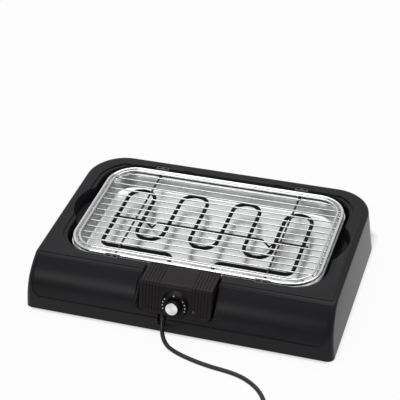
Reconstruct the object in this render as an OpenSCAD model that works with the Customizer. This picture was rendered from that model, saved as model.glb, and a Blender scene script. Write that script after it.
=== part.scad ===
// Tabletop electric grill: moulded body, steel drip tray, lift-out control unit
// with its heating element, and a chromed wire rack, with a coiled mains lead.
// X runs to the right, Y to the back, Z up. Millimetres.

/* [Body] */
// Width of the body along its lower edge
body_w = 510; // [490:1:560]
// Depth of the body along its lower edge
body_d = 351; // [345:1:390]
// Height of the deck above the table
deck_z = 84; // [82:0.5:92]
// How far each side wall leans in on its way up
side_lean = 7; // [3:0.5:12]
// How far the front face runs back on its way up
front_lean = 44.6; // [40:0.2:50]
// How far the back wall leans in on its way up
back_lean = 8.4; // [4:0.2:14]
// Radius of the body's two back corners
back_corner_r = 64; // [40:1:75]
// Radius of the body's two front corners
front_corner_r = 11; // [7:0.5:16]
// Wall thickness of the body moulding
body_wall = 2.6; // [2:0.1:3.4]
// Width of the border left round the raised panel
border_w = 7; // [5:0.5:11]
// Height of the raised panel over its border
panel_rise = 1; // [0.6:0.1:1.6]
// Gap between the body's lower edge and the table
foot_gap = 3; // [2:0.5:5]

/* [Rack] */
// Width over the rack's outer rim
rack_w = 419; // [400:1:430]
// Depth over the rack's outer rim
rack_d = 248; // [236:1:256]
// Corner radius of the outer rim, over its outside
rack_corner_r = 50; // [42:1:60]
// Wire diameter of the outer rim
rim_wire = 6; // [5:0.25:7]
// Wire diameter of the inner rim
inner_wire = 3.5; // [3:0.25:4.5]
// Distance from the outer rim's axis to the inner rim's axis
rim_pitch = 8.5; // [7.5:0.25:10]
// Diameter of the cooking bars
bar_wire = 3; // [2.5:0.25:3.5]
// Number of cooking bars
bar_count = 14; // [10:1:16]
// Distance from one cooking bar to the next
bar_pitch = 16; // [13:0.5:16.5]
// Diameter of the two cross wires under the bars
cross_wire = 3.5; // [3:0.25:4]
// Distance of each cross wire from the middle
cross_x = 124.5; // [119:0.5:130]

/* [Tray] */
// Height of the tray's floor over the table
tray_floor_z = 50; // [47:0.5:53]
// Height of the tray's flange over its floor
tray_h = 23.5; // [21:0.5:23.5]
// Thickness of the tray's steel
tray_wall = 0.8; // [0.6:0.1:1.2]
// Width of the tray's flange
flange_w = 8; // [6:0.5:10]

/* [Element] */
// Diameter of the heating element's sheath
sheath_d = 6.4; // [6:0.1:6.8]
// Distance between neighbouring legs of the element
leg_pitch = 46; // [43:0.5:47]
// Height of the element's axis over the tray's floor
element_rise = 19.5; // [18.5:0.25:19.75]
// Distance of each cold end from the middle
cold_end_x = 36.5; // [34:0.5:39]

/* [Control unit] */
// Width of the control housing
box_w = 118; // [114:1:126]
// Height of the control housing's underside over the table
box_bottom_z = 36; // [35:0.5:37]
// How far the housing's top stands over the deck
box_proud = 1; // [0.5:0.25:2]
// Lean of the housing's front face
face_tilt = 17; // [15:0.5:19]
// Wall thickness of the housing
box_wall = 2.4; // [2:0.1:2.8]
// Number of grooves in each group
groove_count = 6; // [3:1:7]
// Distance from one groove to the next
groove_pitch = 5.2; // [4:0.2:5.6]
// Height of the knob's axis over the table, at the face
knob_z = 54.5; // [53:0.5:57]
// Diameter of the dial's ring at its foot
bezel_d = 45; // [42:0.5:47]
// Diameter of the knob
knob_d = 25; // [22:0.5:28]
// How far the knob stands out from the face
knob_reach = 17.4; // [15:0.1:19]
// Diameter of the knob's metal cap
cap_d = 21.6; // [19:0.2:23]
// Diameter of the thermostat's shaft
shaft_d = 6; // [5:0.5:7]

/* [Mains lead] */
// Diameter of the mains lead
lead_d = 7; // [6:0.5:7.5]
// Turns in each of the coil's two layers
layer_turns = 2.25; // [1.25:1:3.25]
// Radius of the coil's innermost turn
coil_inner_r = 28.5; // [28:0.5:34]
// Diameter of the plug's body
plug_d = 37; // [34:0.5:40]

/* [Hidden] */
$fn = 48;
fit = 0.05;            // between pieces that touch
seat = 0.3;            // between a loose piece and what carries it

// --- Body, from its lower edge up ------------------------------------------------------------
face_setback = 2.2;    // the face's foot, behind the body's lower front edge
knob_axis_setback = face_setback + (knob_z - box_bottom_z)*tan(face_tilt);
cap_h = 1.5;
knob_tip = knob_reach*cos(face_tilt) + cap_d/2*sin(face_tilt) - knob_axis_setback;
overall_d = round(10*(body_d + knob_tip))/10;
base_front = overall_d/2 - body_d;
base_back = overall_d/2;
base_hw = body_w/2;
deck_hw = base_hw - side_lean;
deck_front = base_front + front_lean;
deck_back = base_back - back_lean;
shell_h = deck_z - foot_gap;
top_round = 4;
front_fullness = 3.5;  // how early the front face turns down from the deck
corner_steps = 12;

// --- Rack and opening ------------------------------------------------------------------------
rack_ledge = 26;       // from the deck's front edge to the rack
rack_front = deck_front + rack_ledge;
rack_back = rack_front + rack_d;
rack_mid = (rack_front + rack_back)/2;
side_gap = 9;
front_gap = 4;
back_gap = 2.5;
open_hw = rack_w/2 + side_gap;
open_front = rack_front - front_gap;
open_back = rack_back + back_gap;
open_r = rack_corner_r + 4;
lip_w = 6.5;
lip_drop = 1.2;
rim_z = deck_z - 3.5;
bar_z = rim_z - 1.5;
inner_z = bar_z + bar_wire/2 + fit + inner_wire/2;
cross_z = bar_z - bar_wire/2 - fit - cross_wire/2;
rest_w = 23;
rest_t = 1.5;
rest_z = deck_z - lip_drop + fit;
rest_reach = 10;       // top plate, from the web's inner side

// --- Tub under the tray ----------------------------------------------------------------------
tub_floor_z = 40;
pad_h = tray_floor_z - fit - tub_floor_z - body_wall;
pad_r = 7;
pad_x = 0.8*open_hw;
pad_y = 0.35*rack_d;
recess_r = 72;
recess_reach = 16.2;
recess_depth = 26;
slot_l = 17;
slot_w = 1.6;
foot_post_r = 9;
foot_post_h = 38;
foot_stem_r = 3;
foot_x = base_hw - 12.5;
foot_places = [for (x = [-foot_x, foot_x], y = [base_front + 20, deck_back - 52]) [x, y]];

// --- Tray ------------------------------------------------------------------------------------
flange_hw = rack_w/2 + 1;
flange_front = rack_front + 1.5;
flange_back = rack_back - 1;
flange_z = tray_floor_z + tray_h;
tray_slope = 9;
tray_gate_hw = 48;

// --- Element ---------------------------------------------------------------------------------
element_z = tray_floor_z + element_rise;
loop_r = leg_pitch/2;
leg_count = 8;
inner_peak_y = rack_mid + 59;    // centres of the element's half bends
outer_peak_y = rack_mid + 51;
trough_y = rack_mid - 32;
run_y = rack_mid - 85;
run_r = 13;
cold_r = 12;
element_r = sheath_d/2;
outer_leg_x = leg_pitch*(leg_count - 1)/2;
rod_r = 1.5;
rod_z = element_z - element_r - rod_r - fit;
rod_y = rack_mid - 1;
vee_x = 102;
vee_w = 24;

// --- Control unit ----------------------------------------------------------------------------
box_hw = box_w/2;
box_top = deck_z + box_proud;
box_back = open_front - 1.2;
ridge_r = 6;
ridge_z = box_top - ridge_r;
notch_clear = 3;
notch_hw = box_hw + notch_clear;
notch_floor_z = box_bottom_z - seat;
box_corner_r = 10;
cover_hw = box_hw - box_corner_r - seat;
cover_t = 2.4;
cover_z = box_bottom_z + 0.1;
cover_top = cover_z + cover_t;
inner_back = box_back - box_wall;
sheath_in = 14;            // reach of the element's cold ends inside the housing
inner_top = box_top - box_wall;
groove_w = 1.4;
groove_depth = 0.8;
groove_first = 27;     // first groove of each group, from the middle
post_r = 3.6;
pilot_r = 1.4;
back_post = [24, inner_back - 4.6];
front_post = [43, inner_back - 35];
switch_at = [34, inner_back - 18.5];
switch_rise = 4.5;     // safety switch over the cover
switch_bore = 10;
nib_h = 4;             // holds the safety switch pressed while the unit is in place
plunger_z = notch_floor_z + nib_h + seat;
plunger_l = 8;
plunger_r = 1.6;
block_at = [-34, inner_back - 19];
lens_x = 31;
lens_drop = 5.5;       // lens below the knob's axis, along the face
lens_r = 2.6;
relief_tilt = 43;      // away from straight down
relief_yaw = 10;
relief_at = [-22, base_front + 14.5];
relief_out = 16;
relief_in = 11;
relief_dir = [sin(relief_yaw)*sin(relief_tilt), -cos(relief_yaw)*sin(relief_tilt), -cos(relief_tilt)];
relief_root = [relief_at[0], relief_at[1], box_bottom_z] - (relief_in + 2)*relief_dir;
relief_tip = [relief_at[0], relief_at[1], box_bottom_z] + (relief_out + fit)*relief_dir;
relief_tip_r = lead_d/2 + 0.8;
relief_root_r = 6;
lead_slot_r = 7.5;
lead_slot_x = -20.5;
lead_slot_z = 21.5;

// --- Lead: free stretch, points chosen by hand, then the coil --------------------------------
lead_r = lead_d/2;
lead_route = [[-18, -176, 13.5], [-14.5, -184, 7.5], [-8.5, -192.5, 4], [0.5, -202, 3.5], [13, -209.5, 3.5],
    [27.5, -215.5, 3.5], [43.5, -220.5, 3.5], [59.5, -224.5, 3.5], [78, -228, 3.5], [97, -230.5, 3.5],
    [115, -233.5, 3.5], [132, -239, 3.5], [148, -248, 3.5], [162, -260, 3.5], [173, -275, 3.5],
    [180.5, -292, 3.5], [185, -310, 3.7], [187.5, -328, 4.4]];
lead_end_x = 188;
coil_gap = 0.5;
coil_pitch = lead_d + coil_gap;
coil_base_z = 1.2;
coil_outer_r = coil_inner_r + layer_turns*coil_pitch;
coil_x = lead_end_x - coil_outer_r;
coil_y = -360;
coil_z = coil_base_z + lead_r;
coil_turns = 2*layer_turns + 0.5;
coil_dip = 1.2;
tail = lead_d + 1;
rings_per_turn = 24;
plug_tail = 24;
plug_l = 40;
pin_r = 2.4;
pin_l = 19;
pin_gap = 19;

// --- Helpers ---------------------------------------------------------------------------------
// Stretches a Y-Z outline along X, about the middle.
module along_x(w) {
    rotate([90, 0, 90]) linear_extrude(w, center = true) children();
}
// Stretches an X-Z outline along Y.
module along_y(y0, y1) {
    translate([0, y1, 0]) rotate([90, 0, 0]) linear_extrude(y1 - y0) children();
}
// Rectangle with round corners, exact arcs.
module round_rect(x0, y0, x1, y1, r) {
    translate([x0 + r, y0]) square([x1 - x0 - 2*r, y1 - y0]);
    translate([x0, y0 + r]) square([x1 - x0, y1 - y0 - 2*r]);
    for (x = [x0 + r, x1 - r], y = [y0 + r, y1 - r]) translate([x, y]) circle(r);
}
module round_block(x0, y0, z0, x1, y1, z1, r) {
    translate([0, 0, z0]) linear_extrude(z1 - z0) round_rect(x0, y0, x1, y1, r);
}
// Closed plan outline with its own front and back corner radii.
function plan(hw, y0, y1, rf, rb) = [
    for (c = [[1, y0, rf, -90], [1, y1, rb, 0], [-1, y1, rb, 90], [-1, y0, rf, 180]], i = [0:corner_steps])
        let (a = c[3] + 90*i/corner_steps, cy = c[1] == y0 ? y0 + rf : y1 - rb)
        [c[0]*(hw - c[2]) + c[2]*cos(a), cy + c[2]*sin(a)]];
// Solid through a stack of plan outlines of equal length.
module stack(loops) {
    n = len(loops[0]);
    m = len(loops);
    points = [for (l = loops, p = l) p];
    sides = [for (k = [0:m - 2], i = [0:n - 1]) let (a = k*n + i, b = k*n + (i + 1) % n) each
        [[a, b + n, b], [a, a + n, b + n]]];
    polyhedron(points, concat([[for (i = [0:n - 1]) i]], [[for (i = [n - 1:-1:0]) (m - 1)*n + i]], sides), 10);
}
// Round tube along given points; rings stand square to the path.
function unit(v) = v/norm(v);
function tangent(p, i) = unit(p[min(i + 1, len(p) - 1)] - p[max(i - 1, 0)]);
function ring_x(t) = unit(cross(t, abs(t[2]) < 0.8 ? [0, 0, 1] : [0, 1, 0]));
module tube(p, r, sides) {
    rings = [for (i = [0:len(p) - 1]) let (t = tangent(p, i), u = ring_x(t), v = cross(u, t))
        [for (k = [0:sides - 1]) p[i] + r*(cos(360*(k + 0.5)/sides)*u + sin(360*(k + 0.5)/sides)*v)]];
    stack(rings);
}
// Smooth path through hand-chosen points.
function spline(p, steps) = concat(
    [for (i = [1:len(p) - 3], s = [0:steps - 1]) let (t = s/steps)
        0.5*(2*p[i] + t*(p[i + 1] - p[i - 1]) + t*t*(2*p[i - 1] - 5*p[i] + 4*p[i + 1] - p[i + 2])
        + t*t*t*(3*p[i] - p[i - 1] - 3*p[i + 1] + p[i + 2]))],
    [p[len(p) - 2]]);
// Rod between two points, and a bent rod with a ball at every bend.
module rod(a, b, r) {
    d = b - a;
    translate(a) rotate([0, acos(d[2]/norm(d)), atan2(d[1], d[0])]) cylinder(h = norm(d), r = r);
}
module bent_rod(p, r) {
    for (i = [0:len(p) - 2]) rod(p[i], p[i + 1], r);
    for (i = [1:len(p) - 2]) translate(p[i]) sphere(r);
}
// Quarter or half bend of a round tube lying flat.
module bend(x, y, z, bend_r, r, from, sweep) {
    translate([x, y, z]) rotate([0, 0, from]) rotate_extrude(angle = sweep) translate([bend_r, 0]) circle(r);
}
// Straight rod lying flat along X or along Y.
module run(x0, y0, x1, y1, z, r) {
    if (y0 == y1) translate([min(x0, x1), y0, z]) rotate([0, 90, 0]) cylinder(h = abs(x1 - x0), r = r);
    else translate([x0, max(y0, y1), z]) rotate([90, 0, 0]) cylinder(h = abs(y1 - y0), r = r);
}
// Closed round-cornered loop of wire, lying flat.
module wire_loop(hw, y0, y1, z, corner, r) {
    for (s = [-1, 1]) run(s*hw, y0 + corner, s*hw, y1 - corner, z, r);
    for (y = [y0, y1]) run(corner - hw, y, hw - corner, y, z, r);
    bend(hw - corner, y1 - corner, z, corner, r, 0, 90);
    bend(corner - hw, y1 - corner, z, corner, r, 90, 90);
    bend(corner - hw, y0 + corner, z, corner, r, 180, 90);
    bend(hw - corner, y0 + corner, z, corner, r, 270, 90);
}

// --- Body ------------------------------------------------------------------------------------
// Plan outline of the body at height z, grown outwards by g.
function lean(z) = (deck_z - z)/shell_h;
function front_y(z) = deck_front - front_lean*(0.95*(1 - pow(1 - lean(z), front_fullness)) + 0.05*lean(z));
function body_loop(z, g, drop = 0) = [for (p = plan(deck_hw + side_lean*lean(z) + g, front_y(z) - g,
    deck_back + back_lean*lean(z) + g, max(front_corner_r + g, 2), back_corner_r + g)) [p[0], p[1], z + drop]];
body_levels = [foot_gap, 14, 26, 38, 50, 59, 66, 72, 76.5, deck_z - top_round];
module body_solid(g) {
    rounding = [for (a = [25, 50, 72, 90])
        body_loop(deck_z - top_round*(1 - sin(a)), g - top_round*(1 - cos(a)), g)];
    stack(concat([for (z = body_levels) body_loop(z, g)], rounding));
}
module body_hollow() {
    levels = [for (z = [26, 50, 66, 76.5]) z];
    top = deck_z - body_wall - top_round;
    stack(concat([[for (p = body_loop(foot_gap, -body_wall)) [p[0], p[1], foot_gap - 1]]],
        [for (z = levels) body_loop(z, -body_wall, -body_wall/2)],
        [body_loop(deck_z - top_round, -body_wall - top_round, top_round - body_wall)]));
}
// Raised field: deck inside its border, and the front panel below it.
module raised_fields() {
    crease = 2.4;
    panel_foot = 27;
    intersection() {
        body_solid(panel_rise);
        union() {
            round_block(border_w - deck_hw, deck_front + crease, deck_z - 8, deck_hw - border_w,
                deck_back - border_w, deck_z + 8, 2);
            along_y(base_front - 20, deck_front)
                round_rect(border_w - deck_hw, panel_foot, deck_hw - border_w, deck_z + 30, 12);
        }
    }
}
module opening(z0, z1, g) {
    round_block(-open_hw - g, open_front - g, z0, open_hw + g, open_back + g, z1, open_r + g);
}
module finger_recess(g, z0) {
    for (s = [-1, 1]) translate([s*(open_hw + recess_reach - recess_r), rack_mid, z0])
        cylinder(h = deck_z + 10 - z0, r = recess_r + g, $fn = 96);
}
// Place for the control unit, with round lower corners and a flare at the deck.
module notch(g, z0) {
    hw = notch_hw + g;
    flare = 5;
    along_y(base_front - 20, open_front + 5) {
        round_rect(-hw, z0, hw, deck_z + 30, box_corner_r + notch_clear);
        polygon([[-hw, deck_z - 10], [hw, deck_z - 10], [hw + flare, deck_z + 4], [-hw - flare, deck_z + 4]]);
    }
}
// Way for the lead: down through the notch's floor and out over the front.
module lead_slot() {
    along_y(base_front - 20, relief_at[1] + 9) {
        translate([lead_slot_x, lead_slot_z]) circle(lead_slot_r);
        translate([lead_slot_x - lead_slot_r, lead_slot_z]) square([2*lead_slot_r, deck_z]);
    }
}
module base_shell() {
    color([0.13, 0.125, 0.13]) {
        shell();
        translate([switch_at[0], switch_at[1], notch_floor_z - 1]) cylinder(h = nib_h + 1, r = 2.5);
    }
}
module shell() {
    difference() {
        union() {
            difference() {
                union() {
                    body_solid(0);
                    raised_fields();
                }
                body_hollow();
            }
            intersection() {
                body_solid(-body_wall/2);
                union() {
                    difference() {
                        opening(tub_floor_z, deck_z - 1, body_wall);
                        opening(tub_floor_z + body_wall, deck_z, 0);
                    }
                    finger_recess(body_wall, deck_z - recess_depth - body_wall);
                    notch(body_wall, notch_floor_z - body_wall);
                    for (p = foot_places) translate([p[0], p[1], foot_gap + 1])
                        cylinder(h = foot_post_h, r = foot_post_r);
                }
            }
            for (x = [-pad_x, pad_x], y = [rack_mid - pad_y, rack_mid + pad_y])
                translate([x, y, tub_floor_z + body_wall/2]) cylinder(h = pad_h + body_wall/2, r = pad_r);
        }
        opening(tub_floor_z + body_wall + pad_h, deck_z + 10, 0);
        difference() {
            opening(deck_z - lip_drop, deck_z + 10, lip_w);
            translate([-base_hw, open_back, deck_z - 5]) cube([body_w, 40, 30]);
        }
        finger_recess(0, deck_z - recess_depth);
        notch(0, notch_floor_z);
        deck_slots();
        rest_pockets();
        lead_slot();
        face_bore(0, 0, bezel_d/2 + 2*seat);
        for (p = foot_places) translate([p[0], p[1], 0]) cylinder(h = foot_gap + 7, r = foot_stem_r + fit);
    }
}
// Seats for the rack's two back brackets.
module rest_pockets() {
    for (s = [-1, 1]) translate([s*cross_x - rest_w/2 - seat, open_back - 1, deck_z - lip_drop])
        cube([rest_w + 2*seat, rest_reach, 10]);
}
module deck_slots() {
    near = open_back + 2.2;
    for (x = [-79, 84]) translate([x - slot_l/2, near - slot_w/2, deck_z - 2]) cube([slot_l, slot_w, 10]);
    for (s = [-1, 1]) translate([s*(open_hw - 13), near - 14, deck_z - 2]) rotate([0, 0, -s*42])
        translate([-slot_l/2, -slot_w/2, 0]) cube([slot_l, slot_w, 10]);
}
module rubber_feet() {
    color([0.08, 0.08, 0.08]) for (p = foot_places) translate([p[0], p[1], 0]) {
        cylinder(h = foot_gap + 1 - fit, r = foot_post_r + 0.5);
        cylinder(h = foot_gap + 6, r = foot_stem_r);
    }
}

// --- Tray ------------------------------------------------------------------------------------
function tray_loop(z, g) = let (s = tray_slope*(flange_z - z)/tray_h)
    [for (p = plan(flange_hw - flange_w - s + g, flange_front + flange_w + s - g,
        flange_back - flange_w - s + g, rack_corner_r - 12 + g, rack_corner_r - 12 + g)) [p[0], p[1], z]];
module drip_tray() {
    foot_round = 5;
    color([0.8, 0.8, 0.81]) difference() {
        union() {
            stack([tray_loop(tray_floor_z, tray_wall - foot_round),
                tray_loop(tray_floor_z + 1.4, tray_wall - 1.6),
                tray_loop(tray_floor_z + foot_round, tray_wall), tray_loop(flange_z - 0.2, tray_wall)]);
            round_block(-flange_hw, flange_front, flange_z - tray_wall, flange_hw, flange_back, flange_z,
                rack_corner_r - 3);
        }
        stack([tray_loop(tray_floor_z + tray_wall, -foot_round),
            tray_loop(tray_floor_z + 1.4 + tray_wall, -1.6),
            tray_loop(tray_floor_z + foot_round + tray_wall, 0), tray_loop(flange_z + 1, 0)]);
        translate([-tray_gate_hw, flange_front - 1, element_z - element_r - 3])
            cube([2*tray_gate_hw, flange_w + 12, 30]);
    }
}

// --- Rack ------------------------------------------------------------------------------------
rim_r = rim_wire/2;
module rack_outer_rim() {
    color([0.82, 0.82, 0.83]) wire_loop(rack_w/2 - rim_r, rack_front + rim_r, rack_back - rim_r, rim_z,
        rack_corner_r - rim_r, rim_r);
}
inner_hw = rack_w/2 - rim_r - rim_pitch;
inner_front = rack_front + rim_r + rim_pitch;
inner_back_y = rack_back - rim_r - rim_pitch;
inner_corner = rack_corner_r - rim_r - rim_pitch;
module rack_inner_rim() {
    color([0.8, 0.8, 0.81]) wire_loop(inner_hw, inner_front, inner_back_y, inner_z, inner_corner, inner_wire/2);
}
// Half length of a bar that ends on the outer rim's inner side.
function bar_half(y) = let (c = rack_corner_r, in = rim_wire + fit,
    e = min(y - rack_front, rack_back - y) - bar_wire/2)
    e >= c ? rack_w/2 - in : rack_w/2 - c + sqrt(pow(c - in, 2) - pow(c - e, 2));
module rack_bars() {
    first = rack_mid - (bar_count - 1)*bar_pitch/2;
    color([0.8, 0.8, 0.81]) for (i = [0:bar_count - 1]) let (y = first + i*bar_pitch)
        run(-bar_half(y), y, bar_half(y), y, bar_z, bar_wire/2);
}
module rack_cross_wires() {
    color([0.78, 0.78, 0.79]) for (s = [-1, 1])
        run(s*cross_x, rack_front - seat + fit, s*cross_x, rack_back + seat - fit, cross_z, cross_wire/2);
}
// Black brackets that hang the rack on the body's lip; each top plate has two oval holes.
module rest() {
    web_z = cross_z - cross_wire/2 - 1;
    translate([-rest_w/2, 0, web_z]) cube([rest_w, rest_t, rest_z + rest_t - web_z]);
    difference() {
        translate([-rest_w/2, 0, rest_z]) cube([rest_w, rest_reach - 2*seat, rest_t]);
        for (x = [-5.5, 5.5]) translate([x, rest_reach/2 + 0.6, rest_z - 1]) linear_extrude(4) {
            square([3.4, 3.2], center = true);
            for (e = [-1.7, 1.7]) translate([e, 0]) circle(1.6);
        }
    }
}
module rack_rests() {
    color([0.1, 0.1, 0.1]) for (s = [-1, 1]) translate([s*cross_x, 0, 0]) {
        translate([0, rack_front - seat, 0]) mirror([0, 1, 0]) rest();
        translate([0, rack_back + seat, 0]) rest();
    }
}

// --- Element ---------------------------------------------------------------------------------
module element_sheath() {
    z = element_z;
    r = element_r;
    peak = [outer_peak_y, inner_peak_y, inner_peak_y, outer_peak_y];
    color([0.12, 0.12, 0.125]) {
        for (i = [0:3]) let (x = -outer_leg_x + 2*i*leg_pitch + loop_r) {
            bend(x, peak[i], z, loop_r, r, 0, 180);
            run(x - loop_r, i == 0 ? run_y + run_r : trough_y, x - loop_r, peak[i], z, r);
            run(x + loop_r, i == 3 ? run_y + run_r : trough_y, x + loop_r, peak[i], z, r);
        }
        for (i = [0:2]) bend(-outer_leg_x + (2*i + 1)*leg_pitch + loop_r, trough_y, z, loop_r, r, 180, 180);
        for (s = [-1, 1]) {
            bend(s*(outer_leg_x - run_r), run_y + run_r, z, run_r, r, s > 0 ? 270 : 180, 90);
            run(s*(outer_leg_x - run_r), run_y, s*(cold_end_x + cold_r), run_y, z, r);
            bend(s*(cold_end_x + cold_r), run_y - cold_r, z, cold_r, r, s > 0 ? 90 : 0, 90);
            run(s*cold_end_x, run_y - cold_r, s*cold_end_x, inner_back - sheath_in, z, r);
        }
    }
}
module element_support() {
    foot_z = tray_floor_z + tray_wall + fit + rod_r;
    reach = outer_leg_x + 7;
    color([0.15, 0.15, 0.15]) bent_rod([[-reach, rod_y, rod_z], [-vee_x - vee_w/2, rod_y, rod_z],
        [-vee_x, rod_y, foot_z], [-vee_x + vee_w/2, rod_y, rod_z], [vee_x - vee_w/2, rod_y, rod_z],
        [vee_x, rod_y, foot_z], [vee_x + vee_w/2, rod_y, rod_z], [reach, rod_y, rod_z]], rod_r);
}
// Steel plate on the housing's back with a collar round each cold end.
module element_flange() {
    plate_t = 1;
    plate_hw = cold_end_x + 15.5;
    collar_l = 6;
    color([0.2, 0.2, 0.2]) difference() {
        union() {
            translate([-plate_hw, box_back + fit, element_z - 9]) cube([2*plate_hw, plate_t, 15]);
            for (s = [-1, 1]) translate([s*cold_end_x, box_back + collar_l, element_z]) rotate([90, 0, 0])
                cylinder(h = collar_l - fit, r = element_r + 1.6);
        }
        for (s = [-1, 1]) translate([s*cold_end_x, box_back + collar_l + 1, element_z]) rotate([90, 0, 0])
            cylinder(h = collar_l + 2, r = element_r + fit);
    }
}
terminal_l = 8;
module element_terminals() {
    color([0.75, 0.72, 0.6]) for (s = [-1, 1])
        translate([s*cold_end_x, inner_back - sheath_in - fit, element_z]) rotate([90, 0, 0]) {
            cylinder(h = 2, r = 2.6);
            cylinder(h = terminal_l, r = 1.4);
        }
}

// --- Control unit ----------------------------------------------------------------------------
function face_y(z) = base_front + face_setback + (z - box_bottom_z)*tan(face_tilt);
ridge_y = face_y(ridge_z) + ridge_r/cos(face_tilt);
// Side outline of the housing, drawn in by i, down to height zb.
function box_profile(i, zb) = concat([[box_back - i, zb], [box_back - i, box_top - i]],
    [for (a = [90:10:180 - face_tilt]) [ridge_y + (ridge_r - i)*cos(a), ridge_z + (ridge_r - i)*sin(a)]],
    [[ridge_y - (ridge_r - i)*cos(face_tilt), ridge_z + (ridge_r - i)*sin(face_tilt)],
    [face_y(zb) + i/cos(face_tilt), zb]]);
// Puts a piece on the housing's face: its own +Z points out of the face.
module on_face(x, drop = 0) {
    z = knob_z - drop*cos(face_tilt);
    translate([x, face_y(z), z]) rotate([90 - face_tilt, 0, 0]) children();
}
module face_bore(x, drop, r, in = 6) {
    on_face(x, drop) translate([0, 0, -in]) cylinder(h = in + 6, r = r);
}
module posts(r, z0, z1) {
    for (s = [-1, 1], p = [back_post, front_post]) translate([s*p[0], p[1], z0]) cylinder(h = z1 - z0, r = r);
}
module control_housing() {
    color([0.12, 0.115, 0.12]) difference() {
        union() {
            difference() {
                intersection() {
                    along_x(box_w) polygon(box_profile(0, box_bottom_z));
                    along_y(base_front - 30, open_front + 20)
                        round_rect(-box_hw, box_bottom_z, box_hw, box_top + 30, box_corner_r);
                }
                intersection() {
                    along_x(box_w - 2*box_wall) polygon(box_profile(box_wall, box_bottom_z - 5));
                    along_y(base_front - 30, open_front + 20)
                        round_rect(box_wall - box_hw, box_bottom_z + box_wall, box_hw - box_wall, box_top + 30,
                            box_corner_r - box_wall);
                }
                along_x(2*(cover_hw + 0.15)) polygon([[inner_back, box_bottom_z - 2],
                    [inner_back, cover_top + 1], [face_y(cover_top + 1) + box_wall/cos(face_tilt), cover_top + 1],
                    [face_y(box_bottom_z - 2) + box_wall/cos(face_tilt), box_bottom_z - 2]]);
            }
            posts(post_r, cover_top + fit, inner_top + 0.5);
        }
        for (s = [-1, 1], i = [0:groove_count - 1]) translate([s*(groove_first + i*groove_pitch), 0, 0])
            along_x(groove_w) groove_outline();
        posts(pilot_r, cover_top - 1, cover_top + 10);
        face_bore(0, 0, shaft_d/2 + 0.6);
        face_bore(lens_x, lens_drop, lens_r);
        for (s = [-1, 1]) translate([s*cold_end_x, box_back + 5, element_z]) rotate([90, 0, 0])
            cylinder(h = 12, r = element_r + fit);
    }
}
// Strip of the housing's skin, over its top and part of its face.
module groove_outline() {
    foot = box_bottom_z + 6;
    difference() {
        polygon([[box_back + 3, foot], [box_back + 3, box_top + 3], [base_front - 8, box_top + 3],
            [base_front - 8, foot]]);
        polygon(concat([[box_back + 4, foot - 1], [box_back + 4, box_top - groove_depth]],
            [for (p = box_profile(groove_depth, foot - 1)) if (p[0] < box_back - groove_depth - 1) p]));
    }
}
module relief_axis() {
    translate([relief_at[0], relief_at[1], box_bottom_z]) rotate([180 - relief_tilt, 0, relief_yaw]) children();
}
module housing_cover() {
    color([0.1, 0.1, 0.1]) difference() {
        along_x(2*cover_hw) polygon([[inner_back - 0.15, cover_z], [inner_back - 0.15, cover_top],
            [face_y(cover_top) + box_wall/cos(face_tilt) + 0.15, cover_top],
            [face_y(cover_z) + box_wall/cos(face_tilt) + 0.15, cover_z]]);
        posts(1.6, cover_z - 1, cover_top + 1);
        posts(3.2, cover_z - 1, cover_z + 1);
        translate([switch_at[0], switch_at[1], cover_z - 1]) cylinder(h = 6, r = 3.4);
        relief_axis() translate([0, 0, -relief_in]) cylinder(h = 2*relief_in, r = relief_root_r + fit);
    }
}
module housing_screws() {
    color([0.7, 0.7, 0.7]) for (s = [-1, 1], p = [back_post, front_post])
        translate([s*p[0], p[1], cover_z + 0.1]) {
        cylinder(h = 0.9 - fit, r = 2.9);
        cylinder(h = cover_t + 7, r = pilot_r - fit);
    }
}
module thermostat_body() {
    depth = 14;
    color([0.85, 0.82, 0.74]) on_face(0) translate([0, 0, -box_wall - seat - depth]) difference() {
        translate([-13, -8, 0]) cube([26, 16, depth]);
        translate([0, 0, 4]) cylinder(h = depth, r = shaft_d/2 + fit);
    }
}
module thermostat_shaft() {
    color([0.6, 0.6, 0.6]) on_face(0) translate([0, 0, -box_wall - seat - 10 + fit])
        cylinder(h = box_wall + seat + 10 + 11, r = shaft_d/2);
}
bezel_h = 6;
rim_inset = 2.5;
module dial_ring() {
    color([0.09, 0.09, 0.09]) on_face(0) translate([0, 0, fit]) difference() {
        cylinder(h = bezel_h, r1 = bezel_d/2, r2 = bezel_d/2 - rim_inset, $fn = 64);
        translate([0, 0, 2]) cylinder(h = bezel_h, r = knob_d/2 + 1);
        translate([0, 0, -1]) cylinder(h = 4, r = shaft_d/2 + 0.6);
    }
}
mark_count = 9;
module dial_marks() {
    mark_r = bezel_d/2 - rim_inset - 1.6;
    color([0.9, 0.9, 0.9]) on_face(0) translate([0, 0, bezel_h + 2*fit]) {
        translate([0, mark_r, 0]) cylinder(h = 0.25, r = 0.75, $fn = 16);
        for (s = [-1, 1], i = [0:3]) rotate([0, 0, s*(54 + 18*i)]) translate([0, mark_r, 0])
            cylinder(h = 0.25, r = 0.6, $fn = 16);
    }
}
module control_knob() {
    color([0.08, 0.08, 0.08]) on_face(0) difference() {
        union() {
            translate([0, 0, 2.6]) cylinder(h = 3.6, r = knob_d/2);
            translate([0, 0, 6.2]) cylinder(h = knob_reach - cap_h - 6.2, r1 = knob_d/2, r2 = knob_d/2 - 1);
        }
        translate([0, 0, 0]) cylinder(h = 11 + 3*fit, r = shaft_d/2 + fit);
    }
}
module knob_cap() {
    color([0.85, 0.85, 0.86]) on_face(0) translate([0, 0, knob_reach - cap_h + fit])
        cylinder(h = cap_h - fit, r = cap_d/2);
}
module indicator_lens() {
    color([0.5, 0.12, 0.06]) on_face(lens_x, lens_drop) {
        translate([0, 0, -3]) cylinder(h = 3.6, r = lens_r - fit);
        translate([0, 0, 0.6]) intersection() {
            translate([0, 0, -3]) sphere(4);
            cylinder(h = 3, r = lens_r - fit);
        }
    }
}
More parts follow.
